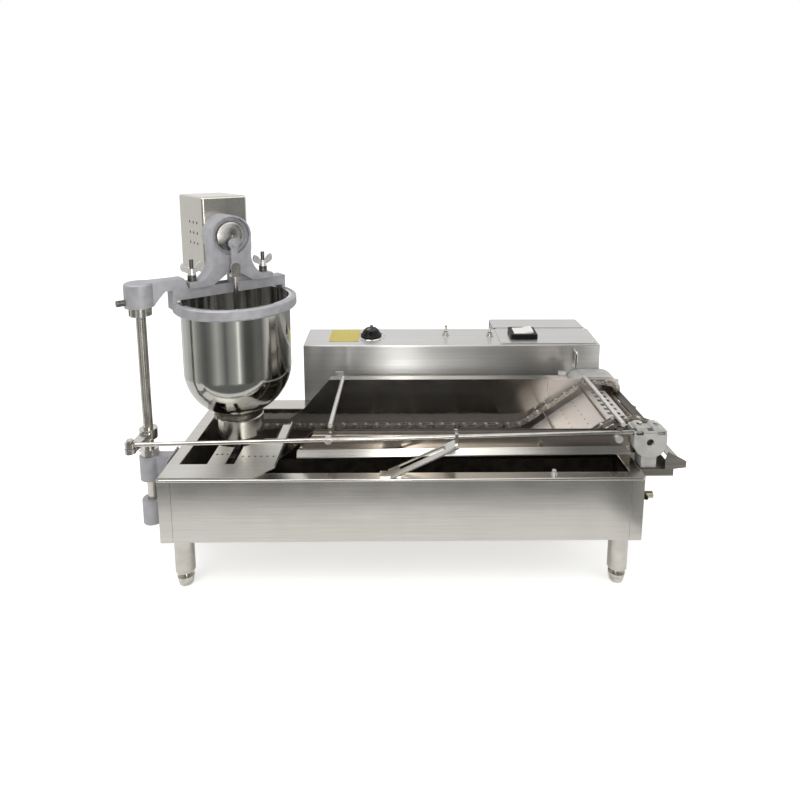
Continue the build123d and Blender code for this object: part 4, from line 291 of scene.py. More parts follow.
def bright_steel(name, rough, deep, pale, patch_mm, metal=1.0):
    """Polished or plated steel: near-mirror, with faint cloudy handling marks that change its gloss."""
    material, tree, surface = new_material(name, Metallic=metal)
    place = add(tree, "TexCoord").outputs["Object"]
    values = {"Scale": 1 / (patch_mm * MM), "Detail": 4.0}
    cloud = add(tree, "TexNoise", values=values, links={"Vector": place}).outputs["Fac"]
    values = {"From Min": 0.3, "From Max": 0.7, "To Min": 0.8 * rough, "To Max": 1.25 * rough}
    gloss = add(tree, "MapRange", values=values, links={"Value": cloud}).outputs["Result"]
    link_up(surface, Base_Color=two_tone(tree, cloud, deep, pale), Roughness=gloss)
    return material


def islands(name):
    """The loose pieces of a CAD node, each as its vertex places, in the same order on every run."""
    shape = bmesh.new()
    shape.from_mesh(nodes[name].data)
    bmesh.ops.remove_doubles(shape, verts=shape.verts, dist=MERGE)
    reached, found = set(), []
    for start in shape.verts:
        if start in reached:
            continue
        reached.add(start)
        front, island = [start], []
        while front:
            vert = front.pop()
            island.append(vert.co.copy())
            for edge in vert.link_edges:
                other = edge.other_vert(vert)
                if other not in reached:
                    reached.add(other)
                    front.append(other)
        found.append(island)
    shape.free()
    return found


def bead(shape, middle, radius, thick):
    """A round bead lying in a level ring."""
    known = set(shape.verts)
    stand = Matrix.Translation((radius, 0, 0)) @ Matrix.Rotation(pi / 2, 4, "X")
    loop = bmesh.ops.create_circle(shape, segments=6, radius=thick, matrix=stand)["verts"]
    edges = list(dict.fromkeys(edge for vert in loop for edge in vert.link_edges))
    bmesh.ops.spin(
        shape, geom=loop + edges, cent=(0, 0, 0), axis=(0, 0, 1), angle=2 * pi, steps=24, use_merge=True
    )
    bmesh.ops.translate(shape, verts=list(set(shape.verts) - known), vec=middle)


# Polished tube and turned plate both mirror the floor, the plate a little brighter and in smaller clouds.
tube_steel = bright_steel("stainless_tube_polished", 0.2, "#bcb8b1", "#cfcbc5", 30)
turned_steel = bright_steel("steel_turned_plated", 0.17, "#bdbab4", "#d6d3ce", 8)
dress(tube_steel, "legs")
dress(turned_steel, "foot_front_left", "foot_front_right", "foot_back_left", "foot_back_right")
welds = bmesh.new()
for island in islands("legs"):
    low, high = (Vector([pick(co[i] for co in island) for i in range(3)]) for pick in (min, max))
    middle = (low + high) / 2
    bead(welds, (middle.x, middle.y, high.z - WELD_DOWN), (high.x - low.x) / 2, WELD_R)
finish_piece("leg_welds", welds, "base", tube_steel)

# Drain cock: a nickel-plated brass body through the tank's right end, opened by a lever that is moulded in
# black phenolic.
GRAIN_SHARE, GRAIN_DEEP = 0.12, 0.1 * MM


def moulded(name, colour, pale, rough, grain_mm, shine=0.5):
    """Moulded plastic: one colour with a fine spark-eroded grain that breaks up its gloss."""
    material, tree, surface = new_material(name, Roughness=rough, Specular_IOR_Level=shine)
    place = add(tree, "TexCoord").outputs["Object"]
    values = {"Scale": 1 / (grain_mm * MM), "Detail": 2.0}
    grain = add(tree, "TexNoise", values=values, links={"Vector": place}).outputs["Fac"]
    values = {"Strength": GRAIN_SHARE, "Distance": GRAIN_DEEP}
    dents = add(tree, "Bump", values=values, links={"Height": grain})
    link_up(surface, Base_Color=two_tone(tree, grain, colour, pale), Normal=dents.outputs["Normal"])
    return material


# Nickel lets a little of the brass through; phenolic is a deep black with a weak, soft shine.
nickel_plate = bright_steel("brass_nickel_plated", 0.22, "#b9ac8c", "#cfcabd", 6)
phenolic_black = moulded("phenolic_black_moulded", "#0b0b0b", "#131312", 0.4, 0.8, shine=0.2)
dress(nickel_plate, "drain_cock")
dress(phenolic_black, "cock_lever")

# Post and its brackets: a polished tube that turns in two sand-cast aluminium brackets bolted to the tank's
# left end, with a plated thrust collar and lock nut. Castings keep the mould's soft edges and sandy skin.
BRACKET_EDGE_MM = 2.0
SAND_MM, SAND_SHARE, SAND_DEEP = 1.4, 0.22, 0.4 * MM
LUMP_MM, LUMP_SHARE, LUMP_DEEP = 16, 0.2, 1.0 * MM


def sand_cast(name, deep, pale):
    """Sand-cast aluminium: a pale grey skin with the mould's sand grain and slow waves in its surface."""
    material, tree, surface = new_material(name, Metallic=0.45)
    place = add(tree, "TexCoord").outputs["Object"]
    sand, lumps = (
        add(tree, "TexNoise", values={"Scale": 1 / (size * MM), "Detail": detail}, links={"Vector": place})
        for size, detail in ((SAND_MM, 4.0), (LUMP_MM, 3.0))
    )
    values = {"Strength": SAND_SHARE, "Distance": SAND_DEEP}
    skin = add(tree, "Bump", values=values, links={"Height": sand.outputs["Fac"]})
    values = {"Strength": LUMP_SHARE, "Distance": LUMP_DEEP}
    links = {"Height": lumps.outputs["Fac"], "Normal": skin.outputs["Normal"]}
    waves = add(tree, "Bump", values=values, links=links)
    values = {"From Min": TONE_LOW, "From Max": TONE_HIGH, "To Min": 0.48, "To Max": 0.6}
    shine = add(tree, "MapRange", values=values, links={"Value": lumps.outputs["Fac"]})
    link_up(
        surface, Base_Color=two_tone(tree, lumps.outputs["Fac"], deep, pale),
        Roughness=shine.outputs["Result"], Normal=waves.outputs["Normal"],
    )
    return material


# Cast aluminium looks like cool grey stone with a dull gleam.
cast_skin = sand_cast("aluminium_sand_cast", "#a09fa3", "#aeadb1")
soften("post_brackets", BRACKET_EDGE_MM, cast_skin)
dress(tube_steel, "post")
dress(turned_steel, "hex_bolts", "post_collars")

# Swing lever and link rod: a flat stainless lever clamped to the post's foot carries the pin of a long
# polished rod that runs along the tank to the end housing.
LEVER_EDGE_MM = 0.8
soften("swing_lever", LEVER_EDGE_MM, sheet_along)
dress(tube_steel, "link_rod")

# Arm, hopper bowl, neck ring and nozzle: the arm is one sand casting with a ring, in which the polished spun
# bowl hangs by its lip. A darker clamp ring holds the turned nozzle cylinder under the bowl's neck.
ARM_EDGE_MM = 2.5
REFLECTION_BAND_WIDE, REFLECTION_BAND_LONG = 26 * MM, 900 * MM
soften("arm_casting", ARM_EDGE_MM, cast_skin)
bowl_low, bowl_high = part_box("hopper_bowl")
axis = (bowl_low + bowl_high) / 2
# Spun and polished steel is a dark mirror outside. The inside is painted paler, with pale upright bands of
# dull steel that are painted reflections.
spun_mirror = bright_steel("stainless_spun_mirror", 0.1, "#acaca7", "#b4b4af", 60)
tree = spun_mirror.node_tree
place = add(tree, "TexCoord").outputs["Object"]
normal = add(tree, "NewGeometry").outputs["Normal"]
outward = add(tree, "VectorMath", {"operation": "SUBTRACT"}, {1: axis}, {0: place}).outputs["Vector"]
level = add(tree, "VectorMath", {"operation": "MULTIPLY"}, {1: (1, 1, 0)}, {0: outward}).outputs["Vector"]
turned = add(tree, "VectorMath", {"operation": "DOT_PRODUCT"}, {}, {0: level, 1: normal}).outputs["Value"]
inside = add(tree, "Math", {"operation": "LESS_THAN"}, {1: 0.0}, {0: turned}).outputs[0]
values = {"Scale": (1 / REFLECTION_BAND_WIDE, 1 / REFLECTION_BAND_WIDE, 1 / REFLECTION_BAND_LONG)}
stretch = add(tree, "Mapping", values=values, links={"Vector": outward}).outputs["Vector"]
band_noise = add(tree, "TexNoise", values={"Scale": 1.0, "Detail": 2.0}, links={"Vector": stretch}).outputs["Fac"]
values = {"From Min": 0.46, "From Max": 0.6, "To Max": 0.5}
reflection_bands = add(tree, "MapRange", values=values, links={"Value": band_noise}).outputs["Result"]
painted_reflection = add(tree, "Math", {"operation": "MULTIPLY"}, {}, {0: inside, 1: reflection_bands}).outputs[0]
# Painted light and reflection: a paler inside, dull in the pale upright bands.
lay_over(spun_mirror, inside, Base_Color=linear("#c9c8c4"))
lay_over(spun_mirror, painted_reflection, Metallic=0.0)
dress(spun_mirror, "hopper_bowl")
# The nozzle is satin, with broad soft highlights, and the clamp ring a dull dark steel.
nozzle_steel = bright_steel("stainless_turned_satin", 0.24, "#bebbb4", "#cac7c1", 20)
neck_steel = brushed_steel("steel_clamp_ring_dull", "Z", 0.36, "#6a6760", "#8c8880", line_mm=0.8)
dress(nozzle_steel, "nozzle")
dress(neck_steel, "neck_ring")

# Yoke: a sand casting on the arm's bar, held by two dark studs with zinc-plated wing nuts on spacers. Its
# barrel carries the crank.
YOKE_EDGE_MM, WING_EDGE_MM = 2.0, 1.0
soften("yoke", YOKE_EDGE_MM, cast_skin)
# Black oxide leaves a brownish dark steel; zinc is pale and milky.
stud_steel = bright_steel("steel_black_oxide", 0.35, "#55524e", "#7a7671", 6)
zinc_plate = bright_steel("steel_zinc_plated", 0.36, "#cbcac7", "#dcdbd9", 6, metal=0.75)
dress(stud_steel, "head_studs")
for name in ("wing_nut_left", "wing_nut_right"):
    soften(name, WING_EDGE_MM, zinc_plate)

# Crank disc, connecting link and plunger: a polished disc turned with a crown, whose pin drives a cast link
# and the polished plunger that pushes the dough out.
LINK_EDGE_MM = 1.0
CROWN_R = 100 * MM
joint_of = {joint["name"]: joint for joint in frame["joints"]}
crank_at, crank_way = (Vector(joint_of["crank_turn"][key]) for key in ("pos_m", "axis"))
# The crown makes the disc show the studio from its ceiling to its floor, as light and dark fields.
crank_steel = bright_steel("steel_crowned_polished", 0.27, "#9c9a97", "#b9b7b4", 25)
tree, surface = crank_steel.node_tree, crank_steel.node_tree.nodes["Principled BSDF"]
place = add(tree, "TexCoord").outputs["Object"]
arm = add(tree, "VectorMath", {"operation": "SUBTRACT"}, {1: crank_at}, {0: place}).outputs["Vector"]
out = add(tree, "VectorMath", {"operation": "CROSS_PRODUCT"}, {1: crank_way}, {0: arm}).outputs["Vector"]
fall = add(tree, "VectorMath", {"operation": "DOT_PRODUCT"}, {}, {0: out, 1: out}).outputs["Value"]
values = {"Strength": 1.0, "Distance": 1 / (2 * CROWN_R)}
crown = add(tree, "Bump", {"invert": True}, values, {"Height": fall})
link_up(surface, Normal=crown.outputs["Normal"])
dress(crank_steel, "crank_disc")
soften("connecting_link", LINK_EDGE_MM, cast_skin)
dress(tube_steel, "plunger")

# Head motor and its cover: an enamelled gear motor behind the yoke, under a box folded from stainless sheet
# that is brushed upright.
COVER_EDGE_MM = 0.6
# Enamel is a dark grey with a soft shine; the cover's steel is warmer and duller than the tank's.
motor_paint = moulded("motor_enamel_grey", "#3b4145", "#50575b", 0.45, 3.0)
cover_sheet = brushed_steel("stainless_brushed_cover", "Z", 0.24, "#c1beb6", "#cbc8c1")
dress(motor_paint, "head_gear_motor")
soften("motor_cover", COVER_EDGE_MM, cover_sheet)

# Drip deck and rod rest: punched stainless sheet laid on the pan's rim, and a bent slotted strip on the front
# rim, whose fork holds the link rod. The strip's slot runs on almost to its foot.
REST_EDGE_MM = 0.5
SLOT_LONG, SLOT_DOWN, SLOT_UP, SLOT_FAR, SLOT_NEAR = 62 * MM, 28 * MM, 4 * MM, 7 * MM, 4 * MM
# Scuffed sheet scatters the light, so it stays pale from every side.
deck_sheet = brushed_steel(
    "stainless_deck_scuffed", "X", 0.34, "#c9c7c0", "#d6d4ce", drawn_out=0.3, metal=0.7
)
dress(deck_sheet, "drip_deck")


def long_slot(shape):
    """Lengthens the slot and moves it towards the far edge, which leaves a thin and a wide bar."""
    sides = [edge for edge in shape.edges if abs(edge.calc_length() - SLOT_LONG) < 0.5 * MM]
    ends = list({vert for edge in sides for vert in edge.verts})
    middle = sum((vert.co for vert in ends), Vector()) / len(ends)
    low, high = sorted(sides[0].verts, key=lambda vert: vert.co.z)
    along = (high.co - low.co).normalized()
    across = Vector((0, 0, 1)).cross(along).normalized()
    for vert in ends:
        arm = vert.co - middle
        vert.co += along * (SLOT_UP if arm.dot(along) > 0 else -SLOT_DOWN)
        vert.co += across * (SLOT_FAR if arm.dot(across) > 0 else SLOT_NEAR)


soften("rod_rest", REST_EDGE_MM, sheet_along, reshape=long_slot)

# Conveyor's front plate: a stainless plate that stands in the oil, folded at the top into a hollow rail. A
# bright drip lip slants out along the rail's lower edge, from its left end to the bearing housing.
LIP_OUT, LIP_TOP, LIP_EDGE, LIP_LOW, LIP_IN = 8 * MM, 9 * MM, 3.5 * MM, 7 * MM, 0.5 * MM
LIP_ROUND, LIP_RISE = 1.2 * MM, 6 * MM
RAIL_OVER_RIM, RAIL_SHADE_UNDER_RIM, FOOT_LONG = 7 * MM, 2 * MM, 45 * MM
# The rail is a brownish steel that mirrors more sharply than the brushed sheet. Its upward faces are darker,
# and painted shade darkens the plate below the rim.
rail_steel = brushed_steel("stainless_plate_dark_tops_painted_shade", "X", 0.13, "#9a9187", "#a89f94", drawn_out=0.3)
painted_pan_shade(rail_steel, rim_top - RAIL_SHADE_UNDER_RIM, dark_tops=0.85)
dress(rail_steel, "front_plate")
rail_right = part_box("end_housing")[0].x
rail = [
    vert.co for vert in nodes["front_plate"].data.vertices
    if vert.co.z > rim_top + RAIL_OVER_RIM and vert.co.x < rail_right - FOOT_LONG
]
rail_front = min(co.y for co in rail)
skirt = [co for co in rail if co.y < rail_front + LIP_OUT]
rail_left, rail_low = min(co.x for co in skirt), min(co.z for co in skirt)
lip = bmesh.new()
outline = ((LIP_IN, LIP_TOP), (-LIP_OUT, -LIP_EDGE), (-LIP_OUT, -LIP_LOW), (LIP_IN, -LIP_LOW))
end = lip.faces.new([lip.verts.new((rail_left, rail_front + y, rail_low + z)) for y, z in outline])
drawn = bmesh.ops.extrude_face_region(lip, geom=[end], use_keep_orig=True)
far_end = [item for item in drawn["geom"] if isinstance(item, bmesh.types.BMVert)]
bmesh.ops.translate(lip, verts=far_end, vec=(rail_right - rail_left, 0, LIP_RISE))
bmesh.ops.recalc_face_normals(lip, faces=lip.faces)
bmesh.ops.bevel(
    lip, geom=lip.edges, offset=LIP_ROUND, offset_type="OFFSET", affect="EDGES", segments=3, profile=0.5,
    material=-1, clamp_overlap=True,
)
finish_piece("rail_drip_lip", lip, "base", sheet_along)

# Conveyor's back plate, ramp and moving parts: stainless plates held apart by zinc-plated tie rods with thumb
# screws, the shafts with their sprockets, the flights that push the dough along, and the turner.
SCUFF_FROM, SCUFF_FADE = 310 * MM, 50 * MM
RAMP_SHADE_UNDER_RIM = 32 * MM
# The back plate mirrors the dark pan, and is rubbed dull and pale where the donuts climb out. Painted shade
# darkens it below the rim, and painted light makes its faces towards the front paler.
plate_sheet = brushed_steel("stainless_plate_painted_shade", "X", 0.2, STEEL_DEEP, STEEL_PALE)
painted_pan_shade(plate_sheet, rim_top - SHADE_UNDER_RIM, lit_front=0.3)
tree = plate_sheet.node_tree
along = add(tree, "SeparateXYZ", links={"Vector": add(tree, "TexCoord").outputs["Object"]}).outputs["X"]
values = {"From Min": SCUFF_FROM, "From Max": SCUFF_FROM + SCUFF_FADE}
soft = {"interpolation_type": "SMOOTHSTEP"}
rubbed = add(tree, "MapRange", soft, values, {"Value": along}).outputs["Result"]
lay_over(plate_sheet, rubbed, Base_Color=linear("#d6cdc7"), Metallic=0.4, Roughness=0.36)
dress(plate_sheet, "back_plate")
# The ramp is scuffed all over. Painted shade darkens the ramp's lower part deep in the pan, and the turner
# below the rim.
ramp_sheet = brushed_steel(
    "stainless_ramp_scuffed_painted_shade", "X", 0.34, "#c8c0b9", "#d4ccc6", drawn_out=0.4, metal=0.6
)
painted_pan_shade(ramp_sheet, rim_top - RAMP_SHADE_UNDER_RIM)
dress(ramp_sheet, "exit_ramp")
turner_sheet = brushed_steel("stainless_brushed_painted_shade", "X", 0.2, STEEL_DEEP, STEEL_PALE)
painted_pan_shade(turner_sheet, rim_top - SHADE_UNDER_RIM)
dress(turner_sheet, "turner")
# Oil has browned the shafts and the flights to a dark, half-dull steel.
shaft_steel = bright_steel("steel_shaft_oily", 0.3, "#3f3a34", "#6b645b", 6)
flight_steel = brushed_steel("stainless_flight_oil_baked", "Y", 0.3, "#4d4741", "#6a635b", drawn_out=0.4)
dress(zinc_plate, "tie_rods")
dress(shaft_steel, "drive_shaft", "idler_shaft")
dress(flight_steel, "flights")

# Roller chains: pressed side plates with round ends on rollers and riveted pins, grey with oil. Each link is
# laid where the CAD link is, which gives its middle, its slope and the distance between its pins.
PLATE_R, PLATE_THICK, PLATE_END = 4.6 * MM, 1.5 * MM, 4 * MM
ROLLER_R, PIN_R, PIN_OUT = 4.2 * MM, 1.7 * MM, 0.5 * MM
ROUND_STEPS = 10
# The plates are dull and mottled, and the rollers and pins worn bright.
chain_steel = bright_steel("chain_plates_oiled", 0.38, "#88827a", "#c2bcb3", 5, metal=0.6)
pin_steel = bright_steel("chain_rollers_bright", 0.3, "#b3ada4", "#dcd8d1", 5, metal=0.6)


def link_plate(shape, pose, half, y):
    """A plate with two round ends, in the link's own frame with the pins at plus and minus half."""
    known = set(shape.verts)
    stand = Matrix.Rotation(pi / 2, 4, "X")
    bmesh.ops.create_circle(shape, cap_ends=True, segments=ROUND_STEPS, radius=PLATE_R, matrix=stand)
    face = next(f for v in set(shape.verts) - known for f in v.link_faces)
    for vert in face.verts:
        vert.co += Vector((copysign(half, vert.co.x), y, 0))
    raised = bmesh.ops.extrude_face_region(shape, geom=[face], use_keep_orig=True)
    top = [item for item in raised["geom"] if isinstance(item, bmesh.types.BMVert)]
    bmesh.ops.translate(shape, verts=top, vec=(0, PLATE_THICK, 0))
    bmesh.ops.transform(shape, matrix=pose, verts=list(set(shape.verts) - known))


def link_round(shape, pose, x, radius, y0, y1):
    """A roller or pin across the link."""
    place = pose @ Matrix.Translation((x, (y0 + y1) / 2, 0)) @ Matrix.Rotation(pi / 2, 4, "X")
    made = bmesh.ops.create_cone(
        shape, cap_ends=True, segments=ROUND_STEPS, radius1=radius, radius2=radius, depth=abs(y1 - y0),
        matrix=place,
    )
    for face in {face for vert in made["verts"] for face in vert.link_faces}:
        face.material_index = 1


for name in ("chain_front", "chain_back"):
    shape = bmesh.new()
    low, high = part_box(name)
    for island in islands(name):
        middle = sum(island, Vector()) / len(island)
        arms = [co - middle for co in island]
        slope = atan2(2 * sum(a.x * a.z for a in arms), sum(a.x * a.x - a.z * a.z for a in arms)) / 2
        pose = Matrix.Translation(middle) @ Matrix.Rotation(-slope, 4, "Y")
        half = max(a.x * cos(slope) + a.z * sin(slope) for a in arms) - PLATE_END
        y0, y1 = min(a.y for a in arms), max(a.y for a in arms)
        if y1 - y0 > 2 * PLATE_THICK:
            for side in (y0, y1 - PLATE_THICK):
                link_plate(shape, pose, half, side)
            for x in (-half, half):
                link_round(shape, pose, x, ROLLER_R, y0 + PLATE_THICK, y1 - PLATE_THICK)
        else:
            link_plate(shape, pose, half, y0)
            outside = y0 - PIN_OUT if middle.y < (low.y + high.y) / 2 else y1 + PIN_OUT
            for x in (-half, half):
                link_round(shape, pose, x, PIN_R, (y0 + y1) / 2, outside)
    bmesh.ops.recalc_face_normals(shape, faces=shape.faces)
    links = finish_piece(name + "_links", shape, "base", chain_steel)
    links.data.materials.append(pin_steel)
    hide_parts(name)

# Right end: a cast bearing housing with its split cap, the cast drive case behind it, a folded drip shelf on
# the tank's end and the sheet chute that lets the donuts off.
END_EDGE_MM = 1.8
# Tumbled castings are warmer and paler than the arm's. The sheet of the shelf and chute is a dark grey,
# brushed across; on the shelf it is the painted shade under the housing.
end_skin = sand_cast("aluminium_sand_cast_tumbled", "#b1afab", "#bfbdb9")
for name in ("end_housing", "end_cap", "drive_case"):
    soften(name, END_EDGE_MM, end_skin)
shaded_dark_sheet = brushed_steel("stainless_sheet_dark_painted_shade", "Y", 0.3, "#6d6a64", "#85817a", drawn_out=0.4)
dress(shaded_dark_sheet, "drip_shelf", "discharge_chute")

# Control box and rear motor cover: folded stainless with a sloping panel, screwed together at the ends. The
# cover behind it holds the conveyor's gear motor and has louvres and a moulded cable gland.
BOX_FITTING_EDGE_MM = 0.6
BOX_SCREW_R, BOX_SCREW_IN, BOX_SCREW_HEIGHTS = 3.4 * MM, 14 * MM, (20 * MM, 150 * MM)
# Coarser brushing draws each highlight out into a broad upright glow.
box_sheet = brushed_steel(
    "stainless_coarse_brushed", "X", 0.31, "#cac9c7", "#d4d3d2", line_mm=2.0, drawn_out=0.97
)
dress(box_sheet, "control_box", "back_cover")
dress(motor_paint, "conveyor_gear_motor")
soften("cable_gland", BOX_FITTING_EDGE_MM, phenolic_black)
soften("switch_plate", BOX_FITTING_EDGE_MM, box_sheet)


def screw_heads(name, body, material, spots, up, radius):
    """Button-head screws with a round socket, their heads facing up, on the given spots."""
    shape = bmesh.new()
    turn = Vector((0, 0, 1)).rotation_difference(up).to_matrix().to_4x4()
    for spot in spots:
        known = set(shape.verts)
        made = bmesh.ops.create_cone(
            shape, cap_ends=True, segments=16, radius1=radius, radius2=0.75 * radius, depth=0.6 * radius
        )
        faces = {face for vert in made["verts"] for face in vert.link_faces}
        top = max(faces, key=lambda face: face.calc_center_median().z)
        bmesh.ops.inset_individual(shape, faces=[top], thickness=0.3 * radius)
        bmesh.ops.translate(shape, verts=top.verts, vec=(0, 0, -0.35 * radius))
        fresh = list(set(shape.verts) - known)
        bmesh.ops.translate(shape, verts=fresh, vec=(0, 0, 0.25 * radius))
        bmesh.ops.transform(shape, matrix=Matrix.Translation(spot) @ turn, verts=fresh)
    return finish_piece(name, shape, body, material, flat_above=40)


low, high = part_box("control_box")
for name, side, x in (("left", -1, low.x), ("right", 1, high.x)):
    spots = [
        Vector((x, y, low.z + height))
        for y in (low.y + BOX_SCREW_IN, high.y - BOX_SCREW_IN) for height in BOX_SCREW_HEIGHTS
    ]
    way = Vector((side, 0, 0))
    screw_heads(f"box_screws_{name}", "base", turned_steel, spots, way, BOX_SCREW_R)

# Panel fittings: a blank yellow film plate, the black thermostat knob with a white pointer on printed ticks,
# two toggles in plated bushes, a white rocker in a black bezel, the switch plate's screws and the pull handle
# of bent wire.
KNOB_EDGE_MM, BEZEL_EDGE_MM, ROCKER_EDGE_MM = 1.0, 0.6, 0.8
PLATE_SCREW_R, PLATE_SCREW_X, PLATE_SCREW_Y, PLATE_HIGH = 3.2 * MM, 9 * MM, 10 * MM, 2.5 * MM
TICKS, TICK_FIRST, TICK_STEP, TICK_R = 11, 225, 27, 33 * MM
TICK_SIZE, POINTER_SIZE = (5 * MM, 1.1 * MM, 0.3 * MM), (9 * MM, 1.6 * MM, 0.4 * MM)
TICK_LIFT, POINTER_R = 0.1 * MM, 8 * MM
# Film is a flat mustard yellow, ABS a clean white with a fine grain, and the ink a dull near-black.
yellow_film = moulded("polyester_film_yellow", "#c2b24c", "#cebf60", 0.42, 4.0)
white_abs = moulded("abs_white_moulded", "#dedcd6", "#e9e8e3", 0.3, 0.8)
ink = moulded("ink_printed_grey", "#2a2a2a", "#343434", 0.5, 1.0)
dress(yellow_film, "blank_plate")
dress(turned_steel, "panel_bushes", "toggle_left", "toggle_right", "pull_handle")
soften("knob", KNOB_EDGE_MM, phenolic_black)
soften("switch_bezel", BEZEL_EDGE_MM, phenolic_black)
soften("rocker", ROCKER_EDGE_MM, white_abs)
knob_at, panel_up = (Vector(joint_of["knob_turn"][key]) for key in ("pos_m", "axis"))
panel_along = panel_up.cross(Vector((1, 0, 0)))


def mark(shape, middle, ray, up, size):
    """A flat printed bar on a surface, its length along a ray."""
    pose = Matrix((ray, up.cross(ray), up)).transposed().to_4x4()
    bmesh.ops.create_cube(
        shape, size=1.0, matrix=Matrix.Translation(middle) @ pose @ Matrix.Diagonal((*size, 1))
    )


plate_low, plate_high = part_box("switch_plate")
slope = panel_along / abs(panel_along.y) * copysign(1, panel_along.y)
spots = []
for x in (plate_low.x + PLATE_SCREW_X, plate_high.x - PLATE_SCREW_X):
    for up_slope in (PLATE_SCREW_Y, plate_high.y - plate_low.y - PLATE_SCREW_Y):
        spots.append(Vector((x, plate_low.y, plate_low.z)) + up_slope * slope + panel_up * PLATE_HIGH)
screw_heads("switch_plate_screws", "base", turned_steel, spots, panel_up, PLATE_SCREW_R)
ticks = bmesh.new()
for k in range(TICKS):
    ray = Matrix.Rotation(radians(TICK_FIRST - TICK_STEP * k), 3, panel_up) @ Vector((1, 0, 0))
    mark(ticks, knob_at + ray * TICK_R + panel_up * TICK_LIFT, ray, panel_up, TICK_SIZE)
finish_piece("dial_ticks", ticks, "base", ink)
pointer = bmesh.new()
knob_top = max((vert.co - knob_at).dot(panel_up) for vert in nodes["knob"].data.vertices)
ray = Matrix.Rotation(radians(TICK_FIRST), 3, panel_up) @ Vector((1, 0, 0))
mark(pointer, knob_at + ray * POINTER_R + panel_up * knob_top, ray, panel_up, POINTER_SIZE)
finish_piece("knob_pointer", pointer, "knob", white_abs)

# Stage: a pale seamless paper floor in a white studio, with two softboxes overhead. The paper glows a little,
# so that it stays white and still shows the machine's shadow.
FLOOR_HALF = 12.0
PAPER_GLOW, PAPER_GLOW_SEEN = 0.12, 0.45
WORLD_LIGHT, WORLD_SEEN = 0.75, 1.0
floor_shape = bmesh.new()
bmesh.ops.create_grid(floor_shape, x_segments=1, y_segments=1, size=FLOOR_HALF)
floor_mesh = bpy.data.meshes.new("floor")
floor_shape.to_mesh(floor_mesh)
floor_shape.free()
floor = bpy.data.objects.new("floor", floor_mesh)
bpy.context.scene.collection.objects.link(floor)
paper, tree, surface = new_material(
    "studio_paper", Roughness=0.9, Base_Color=linear("#f4f4f2"), Emission_Color=(1, 1, 1, 1)
)
seen = add(tree, "LightPath").outputs["Is Camera Ray"]
glow = add(tree, "MapRange", values={"To Min": PAPER_GLOW, "To Max": PAPER_GLOW_SEEN}, links={"Value": seen})
link_up(surface, Emission_Strength=glow.outputs["Result"])
floor_mesh.materials.append(paper)

world = bpy.data.worlds.new("studio")
bpy.context.scene.world = world
world.use_nodes = True
tree = world.node_tree
path = add(tree, "LightPath").outputs
seen = add(tree, "Math", {"operation": "MAXIMUM"}, {}, {0: path["Is Camera Ray"], 1: path["Is Glossy Ray"]})
links = {0: seen.outputs[0], 1: path["Is Transmission Ray"]}
seen = add(tree, "Math", {"operation": "MAXIMUM"}, {}, links)
values = {"To Min": WORLD_LIGHT, "To Max": WORLD_SEEN}
level = add(tree, "MapRange", values=values, links={"Value": seen.outputs[0]})
tree.links.new(level.outputs["Result"], tree.nodes["Background"].inputs["Strength"])
tree.nodes["Background"].inputs["Color"].default_value = (1, 1, 1, 1)


def lamp(name, energy, size, spot, aim):
    """A square softbox that the camera doesn't see."""
    data = bpy.data.lights.new(name, "AREA")
    data.energy, data.size = energy, size
    light = bpy.data.objects.new(name, data)
    light.location = spot
    light.rotation_euler = (Vector(aim) - Vector(spot)).to_track_quat("-Z", "Y").to_euler()
    light.visible_camera = False
    bpy.context.scene.collection.objects.link(light)


lamp("key_softbox", 14.0, 1.2, (-0.9, -1.0, 1.9), (0, 0, 0.3))
lamp("fill_softbox", 8.0, 1.6, (1.4, -0.6, 1.7), (0.1, 0, 0.3))

# Studio flats that only the metal sees: two rings of cloth round the hopper whose tone changes with the
# bearing, counted in degrees from the front towards the right, and a darker floor further out. They draw the
# bands that polished steel shows and light nothing else.
RING_R, RING_STEP, RING_TOP, RING_STEPS = 0.95, 0.42, 1.0, 72
LOW_TONES = (
    (-89, 0.6), (-81, 0.85), (-70, 0.45), (-58, 0.22), (-49, 0.17), (-39, 0.27), (-32, 0.5), (-25, 0.75),
    (-15, 0.42), (-8, 0.18), (-1, 0.4), (10, 0.6), (14, 0.9), (17, 1.9), (20, 0.8), (24, 0.35), (30, 0.13),
    (41, 0.11), (52, 0.22), (65, 0.2), (73, 0.75), (85, 1.2), (105, 0.9), (125, 0.4), (160, 0.3), (185, 0.12),
    (215, 0.6), (250, 0.85), (268, 0.6),
)
HIGH_TONES = (
    (-89, 0.75), (-60, 0.4), (-30, 0.3), (0, 0.25), (8, 0.3), (13, 0.7), (17, 4.0), (20, 13.0), (23, 6.5),
    (26, 3.4), (31, 2.5), (38, 2.0), (45, 1.3), (52, 0.4), (58, 0.16), (70, 0.14), (90, 0.4), (235, 0.85),
    (268, 0.75),
)
LOW_REACH, HIGH_REACH = (-125, 225), (-125, 95)
FLOOR_CARD_WIDE, FLOOR_CARD_NEAR, FLOOR_CARD_FAR, FLOOR_CARD_LIFT = 2.8, -1.7, -0.57, 2 * MM
FLOOR_CARD_TONE = 0.2


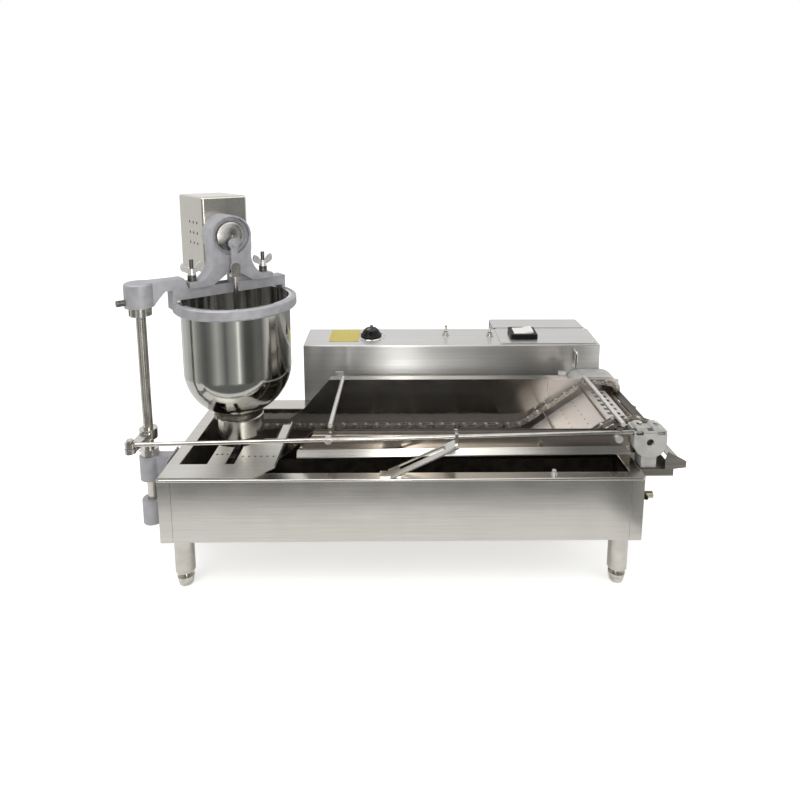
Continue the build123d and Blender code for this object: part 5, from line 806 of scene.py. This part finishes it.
def reflector(name, shape, tones):
    """A cloth that only reflections see, of one tone or of a tone for each bearing round the hopper."""
    mesh = bpy.data.meshes.new(name)
    shape.to_mesh(mesh)
    shape.free()
    material, tree, surface = new_material(
        f"{name}_cloth", Roughness=1.0, Base_Color=(0, 0, 0, 1), Emission_Color=linear("#fdfdfa")
    )
    if isinstance(tones, float):
        surface.inputs["Emission Strength"].default_value = tones
    else:
        place = add(tree, "TexCoord").outputs["Object"]
        middle = add(tree, "VectorMath", {"operation": "SUBTRACT"}, {1: axis}, {0: place}).outputs["Vector"]
        turn = add(tree, "TexGradient", {"gradient_type": "RADIAL"}, {}, {"Vector": middle})
        ramp = add(tree, "ValToRGB", links={"Fac": turn.outputs["Fac"]})
        stops = ramp.color_ramp.elements
        while len(stops) > 1:
            stops.remove(stops[0])
        brightest = max(tone for _, tone in tones)
        for index, (bearing, tone) in enumerate(tones):
            stop = stops[0] if index == 0 else stops.new((bearing + 90) / 360)
            stop.position = (bearing + 90) / 360
            stop.color = [tone / brightest] * 3 + [1]
        strength = add(tree, "Math", {"operation": "MULTIPLY"}, {1: brightest}, {0: ramp.outputs["Color"]})
        link_up(surface, Emission_Strength=strength.outputs[0])
    mesh.materials.append(material)
    card = bpy.data.objects.new(name, mesh)
    card.visible_camera = card.visible_diffuse = card.visible_shadow = False
    bpy.context.scene.collection.objects.link(card)


def ring_band(start, end, low, high):
    """A stretch of the ring between two bearings and two heights."""
    shape = bmesh.new()
    turn = radians(start)
    spot = Vector((axis.x + RING_R * sin(turn), axis.y - RING_R * cos(turn), low))
    foot, head = shape.verts.new(spot), shape.verts.new(spot + Vector((0, 0, high - low)))
    side = shape.edges.new((foot, head))
    bmesh.ops.spin(
        shape, geom=[foot, head, side], cent=(axis.x, axis.y, 0), axis=(0, 0, 1), angle=radians(end - start),
        steps=RING_STEPS,
    )
    return shape


reflector("low_ring", ring_band(*LOW_REACH, 0, RING_STEP), LOW_TONES)
reflector("high_ring", ring_band(*HIGH_REACH, RING_STEP, RING_TOP), HIGH_TONES)
card = bmesh.new()
bmesh.ops.create_grid(card, x_segments=1, y_segments=1, size=0.5)
bmesh.ops.scale(card, vec=(FLOOR_CARD_WIDE, FLOOR_CARD_FAR - FLOOR_CARD_NEAR, 1), verts=card.verts)
bmesh.ops.translate(
    card, vec=(0, (FLOOR_CARD_NEAR + FLOOR_CARD_FAR) / 2, FLOOR_CARD_LIFT), verts=card.verts
)
reflector("floor_card", card, FLOOR_CARD_TONE)

# Camera at the photograph's viewing point, with the lens and the shift that its framing needs.
CAMERA_SPOT = (-0.00435, -1.2742, 0.8273)
CAMERA_PITCH, CAMERA_YAW, CAMERA_ROLL = 0.149, 0.013, -0.002
FOCAL_PX, FRAME_PX = 581.8, 800
CENTRE_PX = (410.9, 242.7)
SENSOR_MM = 36.0
lens = bpy.data.cameras.new("camera")
lens.sensor_width = SENSOR_MM
lens.lens = SENSOR_MM * FOCAL_PX / FRAME_PX
lens.shift_x = 0.5 - CENTRE_PX[0] / FRAME_PX
lens.shift_y = CENTRE_PX[1] / FRAME_PX - 0.5
camera = bpy.data.objects.new("camera", lens)
camera.location = CAMERA_SPOT
camera.rotation_euler = (pi / 2 - CAMERA_PITCH, CAMERA_ROLL, -CAMERA_YAW)
bpy.context.scene.collection.objects.link(camera)
bpy.context.scene.camera = camera
bpy.context.scene.view_settings.view_transform = "Standard"
